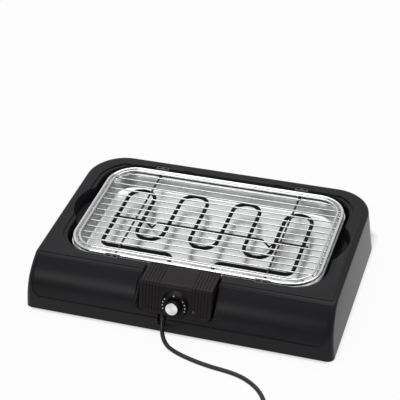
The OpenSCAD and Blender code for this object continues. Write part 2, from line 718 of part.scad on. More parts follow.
module neon_lamp() {
    color([0.9, 0.6, 0.4]) on_face(lens_x, lens_drop) translate([0, 0, -3 - seat - 9]) cylinder(h = 9, r = 2.2);
}
module terminal_block() {
    color([0.9, 0.9, 0.85]) translate([block_at[0], block_at[1], cover_top + fit]) difference() {
        translate([-12, -6, 0]) cube([24, 12, 11]);
        for (x = [-8, 0, 8]) {
            translate([x, -7, 5.5]) rotate([-90, 0, 0]) cylinder(h = 14, r = 1.3);
            translate([x, 0, 6]) cylinder(h = 6, r = 1.8);
        }
    }
}
module safety_switch() {
    color([0.15, 0.15, 0.16]) translate([switch_at[0], switch_at[1], cover_top + switch_rise]) difference() {
        union() {
            translate([-10, -4, 0]) cube([20, 8, switch_bore + 3]);
            for (x = [-8, 8]) translate([x - 1.5, -4, fit - switch_rise]) cube([3, 8, switch_rise]);
        }
        translate([0, 0, -1]) cylinder(h = switch_bore + 1, r = plunger_r + fit);
    }
}
module switch_plunger() {
    color([0.7, 0.15, 0.1]) translate([switch_at[0], switch_at[1], plunger_z]) {
        cylinder(h = plunger_l, r = plunger_r);
        cylinder(h = 1, r = plunger_r + 0.8);
    }
}
module plunger_spring() {
    foot = plunger_z + plunger_l + fit;
    h = cover_top + switch_rise + switch_bore - foot - fit;
    color([0.7, 0.7, 0.7]) translate([switch_at[0], switch_at[1], foot]) difference() {
        cylinder(h = h, r = plunger_r - 0.15);
        translate([0, 0, -1]) cylinder(h = h + 2, r = plunger_r - 0.7);
    }
}
// Insulated wires: lead to block, block to element, block to thermostat, thermostat to element.
module internal_wires() {
    block_z = cover_top + fit + 5.5;
    block_x = block_at[0];
    block_y = block_at[1];
    way = 6.65;
    pin_y = inner_back - sheath_in - terminal_l;
    across = [cos(relief_yaw), sin(relief_yaw), 0];
    heart = relief_root - 0.75*relief_dir;
    behind = face_y(knob_z) + box_wall + seat + 15;
    color([0.5, 0.25, 0.15]) {
        for (i = [-1:1]) let (x = block_x + 8*i)
            wire([heart + 3.1*i*across, heart + 4.2*i*across - 5*relief_dir, [x, block_y - 10.5, block_z + 0.4],
                [x, block_y - way, block_z]]);
        wire([[block_x - 8, block_y + way, block_z], [block_x - 8.3, block_y + 9.5, block_z + 2],
            [block_x - 9, block_y + 8, block_z + 8], [-cold_end_x - 5, pin_y - 6, element_z - 8],
            [-cold_end_x - 1, pin_y - 6, element_z - 2], [-cold_end_x, pin_y - 2.4, element_z]]);
        wire([[block_x + 8, block_y + way, block_z], [block_x + 9, block_y + 9.5, block_z + 2],
            [-10, block_y + 4, block_z + 12], [-4, behind + 8, knob_z + 4], [-4, behind + 1.6, knob_z + 1]]);
        wire([[6, behind + 1.6, knob_z + 1], [8, behind + 7, knob_z + 6], [20, pin_y - 8, element_z + 1],
            [cold_end_x - 3, pin_y - 6, element_z + 1], [cold_end_x, pin_y - 2.4, element_z]]);
    }
}
module wire(p) {
    n = len(p) - 1;
    tube(spline(concat([2*p[0] - p[1]], p, [2*p[n] - p[n - 1]]), 3), 1.1, 8);
}
module strain_relief() {
    color([0.07, 0.07, 0.07]) relief_axis() {
        cylinder(h = relief_out, r1 = relief_root_r, r2 = relief_tip_r);
        translate([0, 0, -relief_in]) cylinder(h = relief_in, r = relief_root_r);
        translate([0, 0, -relief_in - 2]) cylinder(h = 2, r = relief_root_r + 1.2);
    }
}

// --- Mains lead ------------------------------------------------------------------------------
coil_start = [coil_x + coil_outer_r, coil_y, coil_z];
module power_cord() {
    straight = 6;
    route = concat([relief_tip - straight*relief_dir, relief_tip, relief_tip + straight*relief_dir], lead_route,
        [coil_start + [0, tail + straight, 0], coil_start + [0, tail + fit, 0], coil_start]);
    color([0.06, 0.06, 0.06]) tube(spline(route, 2), lead_r, 10);
}
// Coil: in along the lower layer, up in the half turn where it reverses, out along the upper one.
function coil_point(u) = let (half = coil_turns/2, v = abs(u - half) - 0.25,
    s = min(max((u - layer_turns)/0.5, 0), 1),
    rad = coil_inner_r + max(v, 0)*coil_pitch - coil_dip*sin(180*s), a = -360*u)
    [coil_x + rad*cos(a), coil_y + rad*sin(a), coil_z + (lead_d + coil_gap)*s*s*(3 - 2*s)];
coil_steps = round(coil_turns*rings_per_turn);
module cord_coil() {
    path = concat([coil_start + [0, tail, 0]], [for (i = [0:coil_steps]) coil_point(coil_turns*i/coil_steps)],
        [coil_point(coil_turns) - [0, tail, 0]]);
    color([0.06, 0.06, 0.06]) tube(path, lead_r, 6);
}
coil_least = min([for (i = [0:3:coil_steps], j = [i + 12:1:coil_steps])
    norm(coil_point(coil_turns*i/coil_steps) - coil_point(coil_turns*j/coil_steps))]) - lead_d;
echo(coil_least_gap = coil_least);
module coil_tie() {
    t = 0.9;
    w = 9;
    in_x = coil_x - coil_outer_r - lead_r - 1.6;
    out_x = coil_x - coil_inner_r + lead_r + coil_dip + 1.2;
    top = coil_z + lead_d + coil_gap + lead_r + 0.6;
    color([0.1, 0.1, 0.1]) along_y(coil_y - w/2, coil_y + w/2) difference() {
        round_rect(in_x - t, 0.05, out_x + t, top + t, 3);
        round_rect(in_x, 0.05 + t, out_x, top, 2.2);
    }
}
plug_at = coil_point(coil_turns) - [0, tail + fit, 0];
module plug_body() {
    drop = plug_d/2 - plug_at[2];
    color([0.07, 0.07, 0.07]) translate(plug_at) rotate([90, 0, 0]) {
        cylinder(h = plug_tail, r1 = lead_r + 0.4, r2 = lead_r + 3.5);
        translate([0, drop, plug_tail]) cylinder(h = 8, r1 = 11, r2 = plug_d/2);
        translate([0, drop, plug_tail + 8]) cylinder(h = plug_l - 8, r = plug_d/2);
    }
}
module plug_pins() {
    drop = plug_d/2 - plug_at[2];
    color([0.8, 0.75, 0.6]) for (s = [-1, 1])
        translate(plug_at + [s*pin_gap/2, -plug_tail - plug_l - fit, drop]) rotate([90, 0, 0])
            cylinder(h = pin_l, r = pin_r);
}

base_shell();
rubber_feet();
drip_tray();
rack_outer_rim();
rack_inner_rim();
rack_bars();
rack_cross_wires();
rack_rests();
element_sheath();
element_support();
element_flange();
element_terminals();
control_housing();
housing_cover();
housing_screws();
thermostat_body();
thermostat_shaft();
dial_ring();
dial_marks();
control_knob();
knob_cap();
indicator_lens();
neon_lamp();
terminal_block();
safety_switch();
switch_plunger();
plunger_spring();
internal_wires();
strain_relief();
power_cord();
cord_coil();
coil_tie();
plug_body();
plug_pins();
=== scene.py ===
"""Looks of the open tabletop electric grill: body, tray, rack, element, control unit and lead."""

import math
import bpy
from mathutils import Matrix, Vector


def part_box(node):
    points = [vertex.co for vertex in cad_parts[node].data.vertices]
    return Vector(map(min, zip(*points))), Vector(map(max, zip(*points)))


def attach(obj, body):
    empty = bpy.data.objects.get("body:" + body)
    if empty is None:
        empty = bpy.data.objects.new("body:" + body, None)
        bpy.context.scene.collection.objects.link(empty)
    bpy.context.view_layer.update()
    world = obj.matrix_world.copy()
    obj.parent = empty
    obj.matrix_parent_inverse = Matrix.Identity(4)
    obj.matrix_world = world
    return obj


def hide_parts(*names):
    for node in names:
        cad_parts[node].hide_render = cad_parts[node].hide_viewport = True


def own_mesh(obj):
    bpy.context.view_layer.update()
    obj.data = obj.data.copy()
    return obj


bl_info = {
    "name": "Tabletop Grill",
    "version": (1, 0, 0),
    "blender": (4, 5, 0),
    "location": "3D View > Sidebar > Grill",
    "description": "Dresses the packed grill with its finished pieces, materials and stage",
    "category": "Object",
}

import bmesh
import bpy
from bpy.props import FloatProperty, FloatVectorProperty, IntProperty, PointerProperty
from bpy.types import Operator, Panel, PropertyGroup
from mathutils import Matrix, Vector

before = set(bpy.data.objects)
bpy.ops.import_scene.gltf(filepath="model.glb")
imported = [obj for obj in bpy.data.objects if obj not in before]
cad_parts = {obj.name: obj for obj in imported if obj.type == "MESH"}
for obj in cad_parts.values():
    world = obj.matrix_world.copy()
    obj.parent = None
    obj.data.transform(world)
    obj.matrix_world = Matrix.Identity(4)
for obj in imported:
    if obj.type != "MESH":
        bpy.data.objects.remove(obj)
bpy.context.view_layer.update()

TINY = 1e-5  # places that are nearer to each other than this are one place
SKIM = 3e-5  # how far a cutter stands past the face that it cuts
HAIR = 5e-5  # gap between two pieces that touch
ALL_ROUND = 2 * math.pi
QUARTER = math.pi / 2
SIDES = (-1, 1)

BODY_LOW, BODY_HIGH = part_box("base_shell")
TRAY_LOW, TRAY_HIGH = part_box("drip_tray")
RACK_LOW, RACK_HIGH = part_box("rack_outer_rim")
INNER_LOW, INNER_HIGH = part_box("rack_inner_rim")
BARS_LOW, BARS_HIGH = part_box("rack_bars")
CROSS_LOW, CROSS_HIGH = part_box("rack_cross_wires")
REST_LOW, REST_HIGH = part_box("rack_rests")
SHEATH_LOW, SHEATH_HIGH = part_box("element_sheath")
HOUSING_LOW, HOUSING_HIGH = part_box("control_housing")
COVER_LOW, COVER_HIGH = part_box("housing_cover")
PLUNGER_LOW, PLUNGER_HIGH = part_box("switch_plunger")
SPRING_LOW, SPRING_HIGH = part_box("plunger_spring")
FEET_LOW, FEET_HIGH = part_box("rubber_feet")
SCREWS_LOW, SCREWS_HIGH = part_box("housing_screws")

TABLE_GAP = BODY_LOW.z
HALF_WIDTH = BODY_HIGH.x
RACK_MIDDLE = (RACK_LOW.y + RACK_HIGH.y) / 2
BARS_MIDDLE = (BARS_LOW.z + BARS_HIGH.z) / 2
SHEATH_MIDDLE = (SHEATH_LOW.z + SHEATH_HIGH.z) / 2
OPENING_HALF = RACK_HIGH.x + 0.009
OPENING_FRONT = RACK_LOW.y - 0.004
OPENING_BACK = RACK_HIGH.y + 0.0025
NOTCH_FLOOR = HOUSING_LOW.z - 0.0003
NOTCH_BACK = OPENING_FRONT + 0.005
HOUSING_FOOT = BODY_LOW.y + 0.0022
FOOT_RADIUS = 0.0095
FOOT_PLACES = [
    (x, y) for x in (FEET_LOW.x + FOOT_RADIUS, FEET_HIGH.x - FOOT_RADIUS)
    for y in (FEET_LOW.y + FOOT_RADIUS, FEET_HIGH.y - FOOT_RADIUS)
]
SCREW_PLACES = [
    (side * x, HOUSING_HIGH.y - inwards) for side in SIDES for x, inwards in ((0.024, 0.007), (0.043, 0.0374))
]
STAMP_PLACE = (0.003, 0.018)


# --- Sizes and colours that a user may change ---------------------------------------------


def length(name, words, value):
    return FloatProperty(name=name, description=words, default=value, unit="LENGTH", precision=5)


def angle(name, words, degrees):
    return FloatProperty(name=name, description=words, default=math.radians(degrees), subtype="ANGLE")


def colour(name, words, value):
    return FloatVectorProperty(name=name, description=words, default=value, subtype="COLOR", min=0, max=1)


class GrillBodySizes(PropertyGroup):
    deck: length("Deck", "Height of the deck's border over the table", 0.084)
    side_lean: length("Side lean", "How far each side wall leans in on its way up", 0.007)
    front_lean: length("Front lean", "How far the front face runs back on its way up", 0.0446)
    back_lean: length("Back lean", "How far the back wall leans in on its way up", 0.0084)
    front_fullness: FloatProperty(
        name="Front fullness", description="How early the front face turns down", default=3.5
    )
    back_corner: length("Back corner", "Radius of the two back corners", 0.064)
    front_corner: length("Front corner", "Radius of the two front corners", 0.011)
    wall: length("Wall", "Thickness of the moulding", 0.0026)
    border: length("Border", "Width of the border round the raised deck", 0.007)
    rise: length("Rise", "Height of the raised deck over its border", 0.001)
    edge: length("Edge", "Rounding where the walls meet the deck", 0.004)
    panel_foot: length("Panel foot", "Height of the front panel's lower edge", 0.027)
    panel_depth: length("Panel depth", "How deep the front panel lies in the face", 0.0015)
    opening_corner: length("Opening corner", "Corner radius of the opening in the deck", 0.054)
    lip_width: length("Lip width", "Width of the lip round the opening", 0.0065)
    lip_drop: length("Lip drop", "Depth of the lip under the deck's border", 0.0012)
    tub_floor: length("Tub floor", "Height of the tub's underside over the table", 0.04)
    pad_radius: length("Pad radius", "Radius of the pads that carry the tray", 0.007)
    recess_radius: length("Recess radius", "Radius of the finger recesses", 0.072)
    recess_reach: length("Recess reach", "How far a finger recess reaches past the opening", 0.0162)
    recess_depth: length("Recess depth", "Depth of the finger recesses", 0.026)
    notch_corner: length("Notch corner", "Radius of the notch's lower corners", 0.013)
    notch_round: length("Notch rounding", "Rounding where the notch meets the front face", 0.006)
    notch_clear: length("Notch clearance", "Room on each side of the control unit", 0.003)
    slot_length: length("Slot length", "Length of the slots in the deck", 0.017)
    slot_width: length("Slot width", "Width of the slots in the deck", 0.0016)
    lead_slot: length("Lead slot", "Half width of the slot that the lead leaves by", 0.0075)


class GrillRackSizes(PropertyGroup):
    corner: length("Corner", "Corner radius over the outer rim's outside", 0.05)
    rim_wire: length("Outer wire", "Diameter of the outer rim's wire", 0.006)
    inner_wire: length("Inner wire", "Diameter of the inner rim's wire", 0.0035)
    bar_wire: length("Bar wire", "Diameter of the cooking bars", 0.0024)
    cross_wire: length("Cross wire", "Diameter of the two cross wires", 0.0035)
    cross_place: length("Cross place", "Distance of each cross wire from the middle", 0.1245)
    bar_count: IntProperty(name="Bars", description="Number of cooking bars", default=14, min=2)
    bar_pitch: length("Bar pitch", "Distance from one bar to the next", 0.016)
    rest_width: length("Rest width", "Width of each bracket", 0.023)
    rest_sheet: length("Rest sheet", "Thickness of the brackets", 0.0015)


class GrillTraySizes(PropertyGroup):
    sheet: length("Sheet", "Thickness of the tray's steel", 0.0008)
    flange: length("Flange", "Width of the tray's flange", 0.008)
    slope: length("Slope", "How far the tray's walls lean in", 0.009)
    corner: length("Corner", "Corner radius over the flange", 0.047)
    floor_round: length("Floor rounding", "Rounding between walls and floor", 0.005)
    gate: length("Gate", "Half width of the gap for the element", 0.048)


class GrillElementSizes(PropertyGroup):
    sheath: length("Sheath", "Diameter of the heating element", 0.0064)
    pitch: length("Pitch", "Distance between neighbouring legs", 0.046)
    inner_peak: length("Inner peak", "Bend centres of the inner loops, from the rack's middle", 0.059)
    outer_peak: length("Outer peak", "Bend centres of the outer loops, from the rack's middle", 0.051)
    trough: length("Trough", "Bend centres at the front, from the rack's middle", -0.032)
    run_place: length("Run", "Place of the two front runs, from the rack's middle", -0.085)
    run_bend: length("Run bend", "Bend radius at the outer legs' feet", 0.013)
    cold_bend: length("Cold bend", "Bend radius at the cold ends", 0.012)
    cold_place: length("Cold ends", "Distance of each cold end from the middle", 0.0365)


class GrillControlSizes(PropertyGroup):
    tilt: angle("Tilt", "Lean of the control unit's face", 17)
    ridge: length("Ridge", "Rounding between face and top", 0.006)
    corner: length("Corner", "Radius of the lower corners", 0.01)
    wall: length("Wall", "Wall thickness of the housing", 0.0024)
    groove_width: length("Groove width", "Width of a groove", 0.0017)
    groove_depth: length("Groove depth", "Depth of a groove", 0.0011)
    groove_first: length("First groove", "Distance of the first groove from the middle", 0.027)
    groove_pitch: length("Groove pitch", "Distance from one groove to the next", 0.0052)
    groove_count: IntProperty(name="Grooves", description="Grooves in each group", default=6, min=1)
    knob_height: length("Knob height", "Height of the knob's axis at the face", 0.0545)
    ring: length("Ring", "Diameter of the dial's ring at its foot", 0.045)
    ring_height: length("Ring height", "Height of the dial's ring", 0.006)
    knob: length("Knob", "Diameter of the knob", 0.025)
    knob_reach: length("Knob reach", "How far the knob stands out from the face", 0.0174)
    cap: length("Cap", "Diameter of the knob's metal cap", 0.0196)
    shaft: length("Shaft", "Diameter of the thermostat's shaft", 0.006)
    lens: length("Lens", "Radius of the lamp's lens", 0.0026)
    lens_place: length("Lens place", "Distance of the lens from the middle", 0.031)
    lens_drop: length("Lens drop", "How far the lens lies under the knob's axis", 0.0055)


class GrillLeadSizes(PropertyGroup):
    diameter: length("Lead", "Diameter of the mains lead", 0.007)
    coil_radius: length("Coil radius", "Radius of the innermost turn", 0.0285)
    coil_pitch: length("Coil pitch", "Distance from one turn to the next", 0.0075)
    layer_turns: FloatProperty(name="Layer turns", description="Turns in each of the two layers", default=2.25)
    plug: length("Plug", "Diameter of the plug's body", 0.037)
    boot: length("Boot", "Length of the plug's boot", 0.024)
    plug_length: length("Plug length", "Length of the plug's body", 0.04)
    pin: length("Pin", "Radius of the plug's pins", 0.0024)
    relief_out: length("Relief", "Length of the bend relief outside the housing", 0.016)
    relief_in: length("Relief root", "Length of the bend relief inside the housing", 0.011)


class GrillView(PropertyGroup):
    azimuth: angle("Azimuth", "How far right of the front the camera stands", 18.58)
    elevation: angle("Elevation", "How far above the table the camera looks from", 35.4)
    roll: angle("Roll", "Turn of the camera about its own axis", -2.05)
    distance: length("Distance", "From the camera to the point it looks at", 2.3479)
    target: FloatVectorProperty(
        name="Target", description="Point that the camera looks at", default=(-0.0527, 0.137, 0.0407)
    )
    lens: FloatProperty(name="Lens", description="Focal length in millimetres", default=121.2)


class GrillColours(PropertyGroup):
    body: colour("Body", "Moulded body", (0.0155, 0.0148, 0.0168))
    housing: colour("Housing", "Control unit's housing", (0.0165, 0.0135, 0.0132))
    knob: colour("Knob", "Knob and dial ring", (0.006, 0.006, 0.0065))
    rubber: colour("Rubber", "Feet", (0.012, 0.012, 0.012))
    lead: colour("Lead", "Lead, relief and plug", (0.007, 0.007, 0.0075))
    tray: colour("Tray", "Polished steel tray", (0.86, 0.875, 0.868))
    chrome: colour("Chrome", "Plated wire", (0.8, 0.8, 0.81))
    coating: colour("Coating", "Black coated brackets", (0.035, 0.034, 0.035))
    sheath: colour("Sheath", "Heating element", (0.009, 0.0085, 0.0095))
    zinc: colour("Zinc", "Screws, shaft and spring", (0.6, 0.6, 0.58))
    cap: colour("Cap", "Spun knob cap", (0.95, 0.95, 0.95))
    brass: colour("Pins", "Plug and element pins", (0.72, 0.66, 0.5))
    ceramic: colour("Ceramic", "Thermostat and terminal block", (0.75, 0.72, 0.65))
    marks: colour("Marks", "Dots round the dial", (0.85, 0.85, 0.85))
    lens: colour("Lens", "Lamp window", (0.008, 0.002, 0.002))
    glass: colour("Lamp", "Neon lamp", (0.8, 0.45, 0.25))
    sleeve: colour("Sleeve", "Inner wires", (0.25, 0.1, 0.05))
    floor: colour("Floor", "Stage floor", (0.82, 0.82, 0.82))


# --- Modelling helpers ----------------------------------------------------------------------


def begin(name, primitive, **settings):
    """Adds one primitive at its size and place, alone in the selection, ready for edit mode."""
    bpy.ops.object.select_all(action="DESELECT")
    scale = settings.pop("scale", None)
    getattr(bpy.ops.mesh, f"primitive_{primitive}_add")(**settings)
    piece = bpy.context.object
    piece.name = piece.data.name = name
    if scale:
        piece.scale = scale
    bpy.ops.object.transform_apply(location=True, rotation=True, scale=True)
    return piece


def only(piece):
    bpy.ops.object.select_all(action="DESELECT")
    piece.select_set(True)
    bpy.context.view_layer.objects.active = piece


def edit(piece, mode="VERT"):
    only(piece)
    bpy.ops.object.mode_set(mode="EDIT")
    bpy.ops.mesh.select_mode(type=mode)
    bpy.ops.mesh.select_all(action="SELECT")


def leave():
    bpy.ops.object.mode_set(mode="OBJECT")


def choose(piece, kind, test):
    """Selects the vertices, edges or faces that pass a test on their place."""
    bpy.ops.mesh.select_mode(type={"verts": "VERT", "edges": "EDGE", "faces": "FACE"}[kind])
    mesh = bmesh.from_edit_mesh(piece.data)
    for part in list(mesh.verts) + list(mesh.edges) + list(mesh.faces):
        part.select = False
    found = 0
    for part in getattr(mesh, kind):
        if test(part):
            part.select_set(True)
            found += 1
    mesh.select_flush_mode()
    bmesh.update_edit_mesh(piece.data)
    if not found:
        raise RuntimeError(f"nothing to shape on {piece.name}")


def choose_open_edges():
    bpy.ops.mesh.select_mode(type="EDGE")
    bpy.ops.mesh.select_all(action="DESELECT")
    bpy.ops.mesh.select_non_manifold()


def lies_below(edge, z):
    return all(v.co.z < z + TINY for v in edge.verts)


def runs_back(edge):
    """Whether an edge keeps its place across the grill."""
    return abs(edge.verts[0].co.x - edge.verts[1].co.x) < TINY


def stands_upright(edge):
    return runs_back(edge) and abs(edge.verts[0].co.y - edge.verts[1].co.y) < TINY


def extrude(offset=(0, 0, 0)):
    bpy.ops.mesh.extrude_region_move(TRANSFORM_OT_translate={"value": offset})


def resize(value, centre):
    bpy.ops.transform.resize(value=value, center_override=centre)


def modify(piece, kind, **settings):
    """Adds a modifier with its settings and applies it."""
    only(piece)
    modifier = piece.modifiers.new(kind.title(), kind)
    for key, value in settings.items():
        setattr(modifier, key, value)
    bpy.ops.object.modifier_apply(modifier=modifier.name)


def carve(piece, cutter, operation="DIFFERENCE", keep=False):
    """Cuts, joins or limits a piece by another closed shape."""
    modify(piece, "BOOLEAN", object=cutter, operation=operation, solver="EXACT")
    if not keep:
        bpy.data.objects.remove(cutter)


def copy_of(piece, name):
    twin = piece.copy()
    twin.data = piece.data.copy()
    twin.name = twin.data.name = name
    bpy.context.scene.collection.objects.link(twin)
    return twin


def join(name, pieces):
    bpy.ops.object.select_all(action="DESELECT")
    for piece in pieces:
        piece.select_set(True)
    bpy.context.view_layer.objects.active = pieces[0]
    bpy.ops.object.join()
    joined = bpy.context.object
    joined.name = joined.data.name = name
    return joined


def place(piece, location=(0, 0, 0), rotation=(0, 0, 0)):
    """Turns and moves a piece, then puts that into its mesh."""
    only(piece)
    piece.rotation_euler = rotation
    piece.location = location
    bpy.ops.object.transform_apply(location=True, rotation=True, scale=True)
    return piece


def aim(piece, location, direction):
    """Stands a piece made along +Z at a place, along a direction."""
    turn = Vector(direction).to_track_quat("Z", "Y").to_euler()
    return place(piece, location, turn)


def copies(piece, places):
    """Copies of a piece, one at each place, instead of the piece itself."""
    made = [place(copy_of(piece, piece.name + "_copy"), where) for where in places]
    bpy.data.objects.remove(piece)
    return made


def tidy(piece, angle_limit=32):
    """Merges doubles, turns the faces outwards and smooths all but the sharp edges."""
    edit(piece)
    bpy.ops.mesh.remove_doubles(threshold=TINY)
    bpy.ops.mesh.select_all(action="SELECT")
    bpy.ops.mesh.normals_make_consistent(inside=False)
    leave()
    bpy.ops.object.shade_smooth_by_angle(angle=math.radians(angle_limit))
    return piece


def soften(piece, width, segments=2, angle_limit=32):
    """Rounds the edges sharper than a limit."""
    modify(
        piece, "BEVEL", width=width, segments=segments, limit_method="ANGLE",
        angle_limit=math.radians(angle_limit), use_clamp_overlap=True, harden_normals=False,
    )


def dress(piece, body, material, slot, *nodes):
    """Rides a piece on its body, in its finish, in place of the nodes it stands for."""
    piece.data.materials.clear()
    piece.data.materials.append(material)
    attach(piece, body)
    if nodes:
        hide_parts(*nodes)
    return piece


def finish_node(node, material):
    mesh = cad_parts[node].data
    mesh.materials.clear()
    mesh.materials.append(material)


def turned(name, profile, sides=48):
    """Closed piece turned about Z, through pairs of height and radius."""
    height, radius = profile[0]
    piece = begin(name, "circle", vertices=sides, radius=radius, fill_type="NGON", location=(0, 0, height))
    edit(piece, "FACE")
    for next_height, next_radius in profile[1:]:
        extrude((0, 0, next_height - height))
        grow = next_radius / radius
        resize((grow, grow, 1), (0, 0, next_height))
        height, radius = next_height, next_radius
    leave()
    return piece


def draw_rings(steps, low, high):
    """Draws the selected face on through pairs of height and growth past its first outline."""
    middle = ((low[0] + high[0]) / 2, (low[1] + high[1]) / 2, 0)
    width, depth = high[0] - low[0], high[1] - low[1]
    z, out = steps[0]
    for next_z, next_out in steps[1:]:
        extrude((0, 0, next_z - z))
        wider = (width + 2 * next_out) / (width + 2 * out)
        deeper = (depth + 2 * next_out) / (depth + 2 * out)
        resize((wider, deeper, 1), middle)
        z, out = next_z, next_out


def flat(name, low, high, z):
    """Flat rectangle between two corners, lying at height z."""
    middle = ((low[0] + high[0]) / 2, (low[1] + high[1]) / 2, z)
    return begin(name, "plane", size=1, location=middle, scale=(high[0] - low[0], high[1] - low[1], 1))


def rounded_plate(name, low, high, radius, z, segments=10):
    """Flat face with round corners, lying at height z and left in edit mode."""
    piece = flat(name, low, high, z)
    edit(piece)
    bpy.ops.mesh.bevel(offset=radius, segments=segments, affect="VERTICES")
    bpy.ops.mesh.select_all(action="SELECT")
    return piece


def rounded_block(name, low, high, radius, bottom, top, segments=10):
    """Upright block with round corners."""
    piece = rounded_plate(name, low, high, radius, bottom, segments)
    extrude((0, 0, top - bottom))
    leave()
    return tidy(piece)


def box_piece(name, low, high):
    low, high = Vector(low), Vector(high)
    return begin(name, "cube", size=1, location=(low + high) / 2, scale=high - low)


class Pipe:
    """Round wire that is drawn from a ring by runs and bends."""

    def __init__(self, name, start, direction, radius, sides=16):
        self.radius = radius
        turn = Vector(direction).to_track_quat("Z", "Y").to_euler()
        self.piece = begin(
            name, "circle", vertices=sides, radius=radius, fill_type="NOTHING", location=start, rotation=turn
        )
        edit(self.piece)

    def run(self, *offset):
        extrude(offset)
        return self

    def bend(self, centre, degrees, steps, axis=(0, 0, 1)):
        """Bends the wire, counter-clockwise about the axis for a positive angle."""
        bpy.ops.mesh.spin(steps=steps, angle=-math.radians(degrees), center=centre, axis=axis)
        return self

    def close(self, ends=True):
        """Merges a loop's two ends, or shuts an open wire's."""
        bpy.ops.mesh.select_all(action="SELECT")
        bpy.ops.mesh.remove_doubles(threshold=TINY)
        if ends:
            choose_open_edges()
            bpy.ops.mesh.edge_face_add()
        leave()
        return tidy(self.piece, 50)


def wire_loop(name, low, high, corner, radius):
    """Closed loop of wire with round corners that fills a box, lying flat."""
    corner, z = corner - radius, (low.z + high.z) / 2
    half, front, back = high.x - radius, low.y + radius, high.y - radius
    side, depth = half - corner, back - front - 2 * corner
    pipe = Pipe(name, (0, front, z), (1, 0, 0), radius)
    pipe.run(side, 0, 0)
    pipe.bend((side, front + corner, z), 90, 20)
    pipe.run(0, depth, 0)
    pipe.bend((side, back - corner, z), 90, 20)
    pipe.run(-2 * side, 0, 0)
    pipe.bend((-side, back - corner, z), 90, 20)
    pipe.run(0, -depth, 0)
    pipe.bend((-side, front + corner, z), 90, 20)
    pipe.run(side, 0, 0)
    return pipe.close(ends=False)


# --- Shader helpers -------------------------------------------------------------------------


class Value:
    """A node's output; Python's arithmetic on it adds Math nodes."""

    def __init__(self, nodes, socket):
        self.nodes = nodes
        self.socket = socket

    def output(self, key):
        """Another output of the same node."""
        return Value(self.nodes, self.socket.node.outputs[key])

    def __add__(self, other):
        return self.nodes.math("ADD", self, other)

    def __radd__(self, other):
        return self.nodes.math("ADD", other, self)

    def __sub__(self, other):
        return self.nodes.math("SUBTRACT", self, other)

    def __rsub__(self, other):
        return self.nodes.math("SUBTRACT", other, self)

    def __mul__(self, other):
        return self.nodes.math("MULTIPLY", self, other)

    def __rmul__(self, other):
        return self.nodes.math("MULTIPLY", other, self)

    def __truediv__(self, other):
        return self.nodes.math("DIVIDE", self, other)

    def __rtruediv__(self, other):
        return self.nodes.math("DIVIDE", other, self)


class Nodes:
    """A node tree and the one method that adds nodes to it."""

    def __init__(self, tree):
        self.tree = tree

    def node(self, kind, settings, sockets, output=0):
        """Adds a node: its settings first, then the values or links of its sockets."""
        made = self.tree.nodes.new(kind)
        for key, value in settings.items():
            setattr(made, key, value)
        for key, value in sockets.items():
            if isinstance(value, Value):
                self.tree.links.new(value.socket, made.inputs[key])
            else:
                made.inputs[key].default_value = value
        return Value(self, made.outputs[output]) if made.outputs else None

    def math(self, operation, *parts):
        return self.node("ShaderNodeMath", {"operation": operation}, dict(enumerate(parts)))

    def axes(self, where):
        """The three shares of a place."""
        x = self.node("ShaderNodeSeparateXYZ", {}, {"Vector": where})
        return x, x.output(1), x.output(2)

    def seen_by(self, *kinds):
        """One for the named kinds of ray, nought for the others."""
        path = self.node("ShaderNodeLightPath", {}, {}, kinds[0])
        seen = path
        for kind in kinds[1:]:
            seen = self.math("MAXIMUM", seen, path.output(kind))
        return seen


class Finish(Nodes):
    """A material whose shader is fed by expressions."""

    def __init__(self, name, **constants):
        self.material = bpy.data.materials.new(name)
        self.material.use_nodes = True
        super().__init__(self.material.node_tree)
        self.shader = self.tree.nodes["Principled BSDF"]
        for key, value in constants.items():
            self.shader.inputs[key.replace("_", " ")].default_value = value
        self.place = self.node("ShaderNodeTexCoord", {}, {}, "Object")

    def noise(self, scale, detail=2.0, stretch=(1, 1, 1)):
        """Noise of that many cells to the metre, stretched along an axis if asked."""
        where = self.node("ShaderNodeMapping", {}, {"Vector": self.place, "Scale": stretch})
        return self.node(
            "ShaderNodeTexNoise", {}, {"Vector": where, "Scale": scale, "Detail": detail}, "Fac"
        )

    def mix(self, factor, first, second):
        """Colour between two colours."""
        return self.node(
            "ShaderNodeMix", {"data_type": "RGBA"}, {0: factor, 6: (*first, 1), 7: (*second, 1)}, 2
        )

    def feed(self, **values):
        for key, value in values.items():
            self.tree.links.new(value.socket, self.shader.inputs[key.replace("_", " ")])
        return self

    def bump(self, height, depth):
        """Bumps of the given depth, in metres."""
        bent = self.node("ShaderNodeBump", {}, {"Height": height, "Distance": depth, "Strength": 1.0})
        return self.feed(Normal=bent)


def shade(tint, factor):
    return tuple(min(1, part * factor) for part in tint)


def moulded_plastic(name, tint, roughness, grain=2400, depth=2.5e-5):
    """Satin moulding: fine spark-eroded grain, faint flow marks and light rubbing."""
    finish = Finish(name, Specular_IOR_Level=0.13)
    cloud = finish.noise(11, 3)
    fine = finish.noise(grain, 2)
    finish.feed(
        Base_Color=finish.mix(cloud, shade(tint, 0.88), shade(tint, 1.14)),
        Roughness=cloud * 0.1 + fine * 0.08 + (roughness - 0.09),
    )
    return finish.bump(fine * 0.8 + cloud * 0.2, depth).material


def rubber(name, tint, roughness):
    """Smooth soft rubber with a dusty bloom."""
    finish = Finish(name)
    cloud = finish.noise(60, 4)
    fine = finish.noise(1500, 2)
    finish.feed(
        Base_Color=finish.mix(cloud, tint, shade(tint, 1.5)), Roughness=cloud * 0.16 + (roughness - 0.08)
    )
    return finish.bump(fine, 1.2e-5).material


def plated_wire(name, tint, roughness):
    """Bright plating, a little uneven along the wire."""
    finish = Finish(name, Metallic=1.0)
    cloud = finish.noise(70, 3)
    fine = finish.noise(900, 2)
    finish.feed(
        Base_Color=finish.mix(cloud, shade(tint, 0.9), shade(tint, 1.04)),
        Roughness=cloud * 0.08 + (roughness - 0.04),
    )
    return finish.bump(fine, 4e-6).material


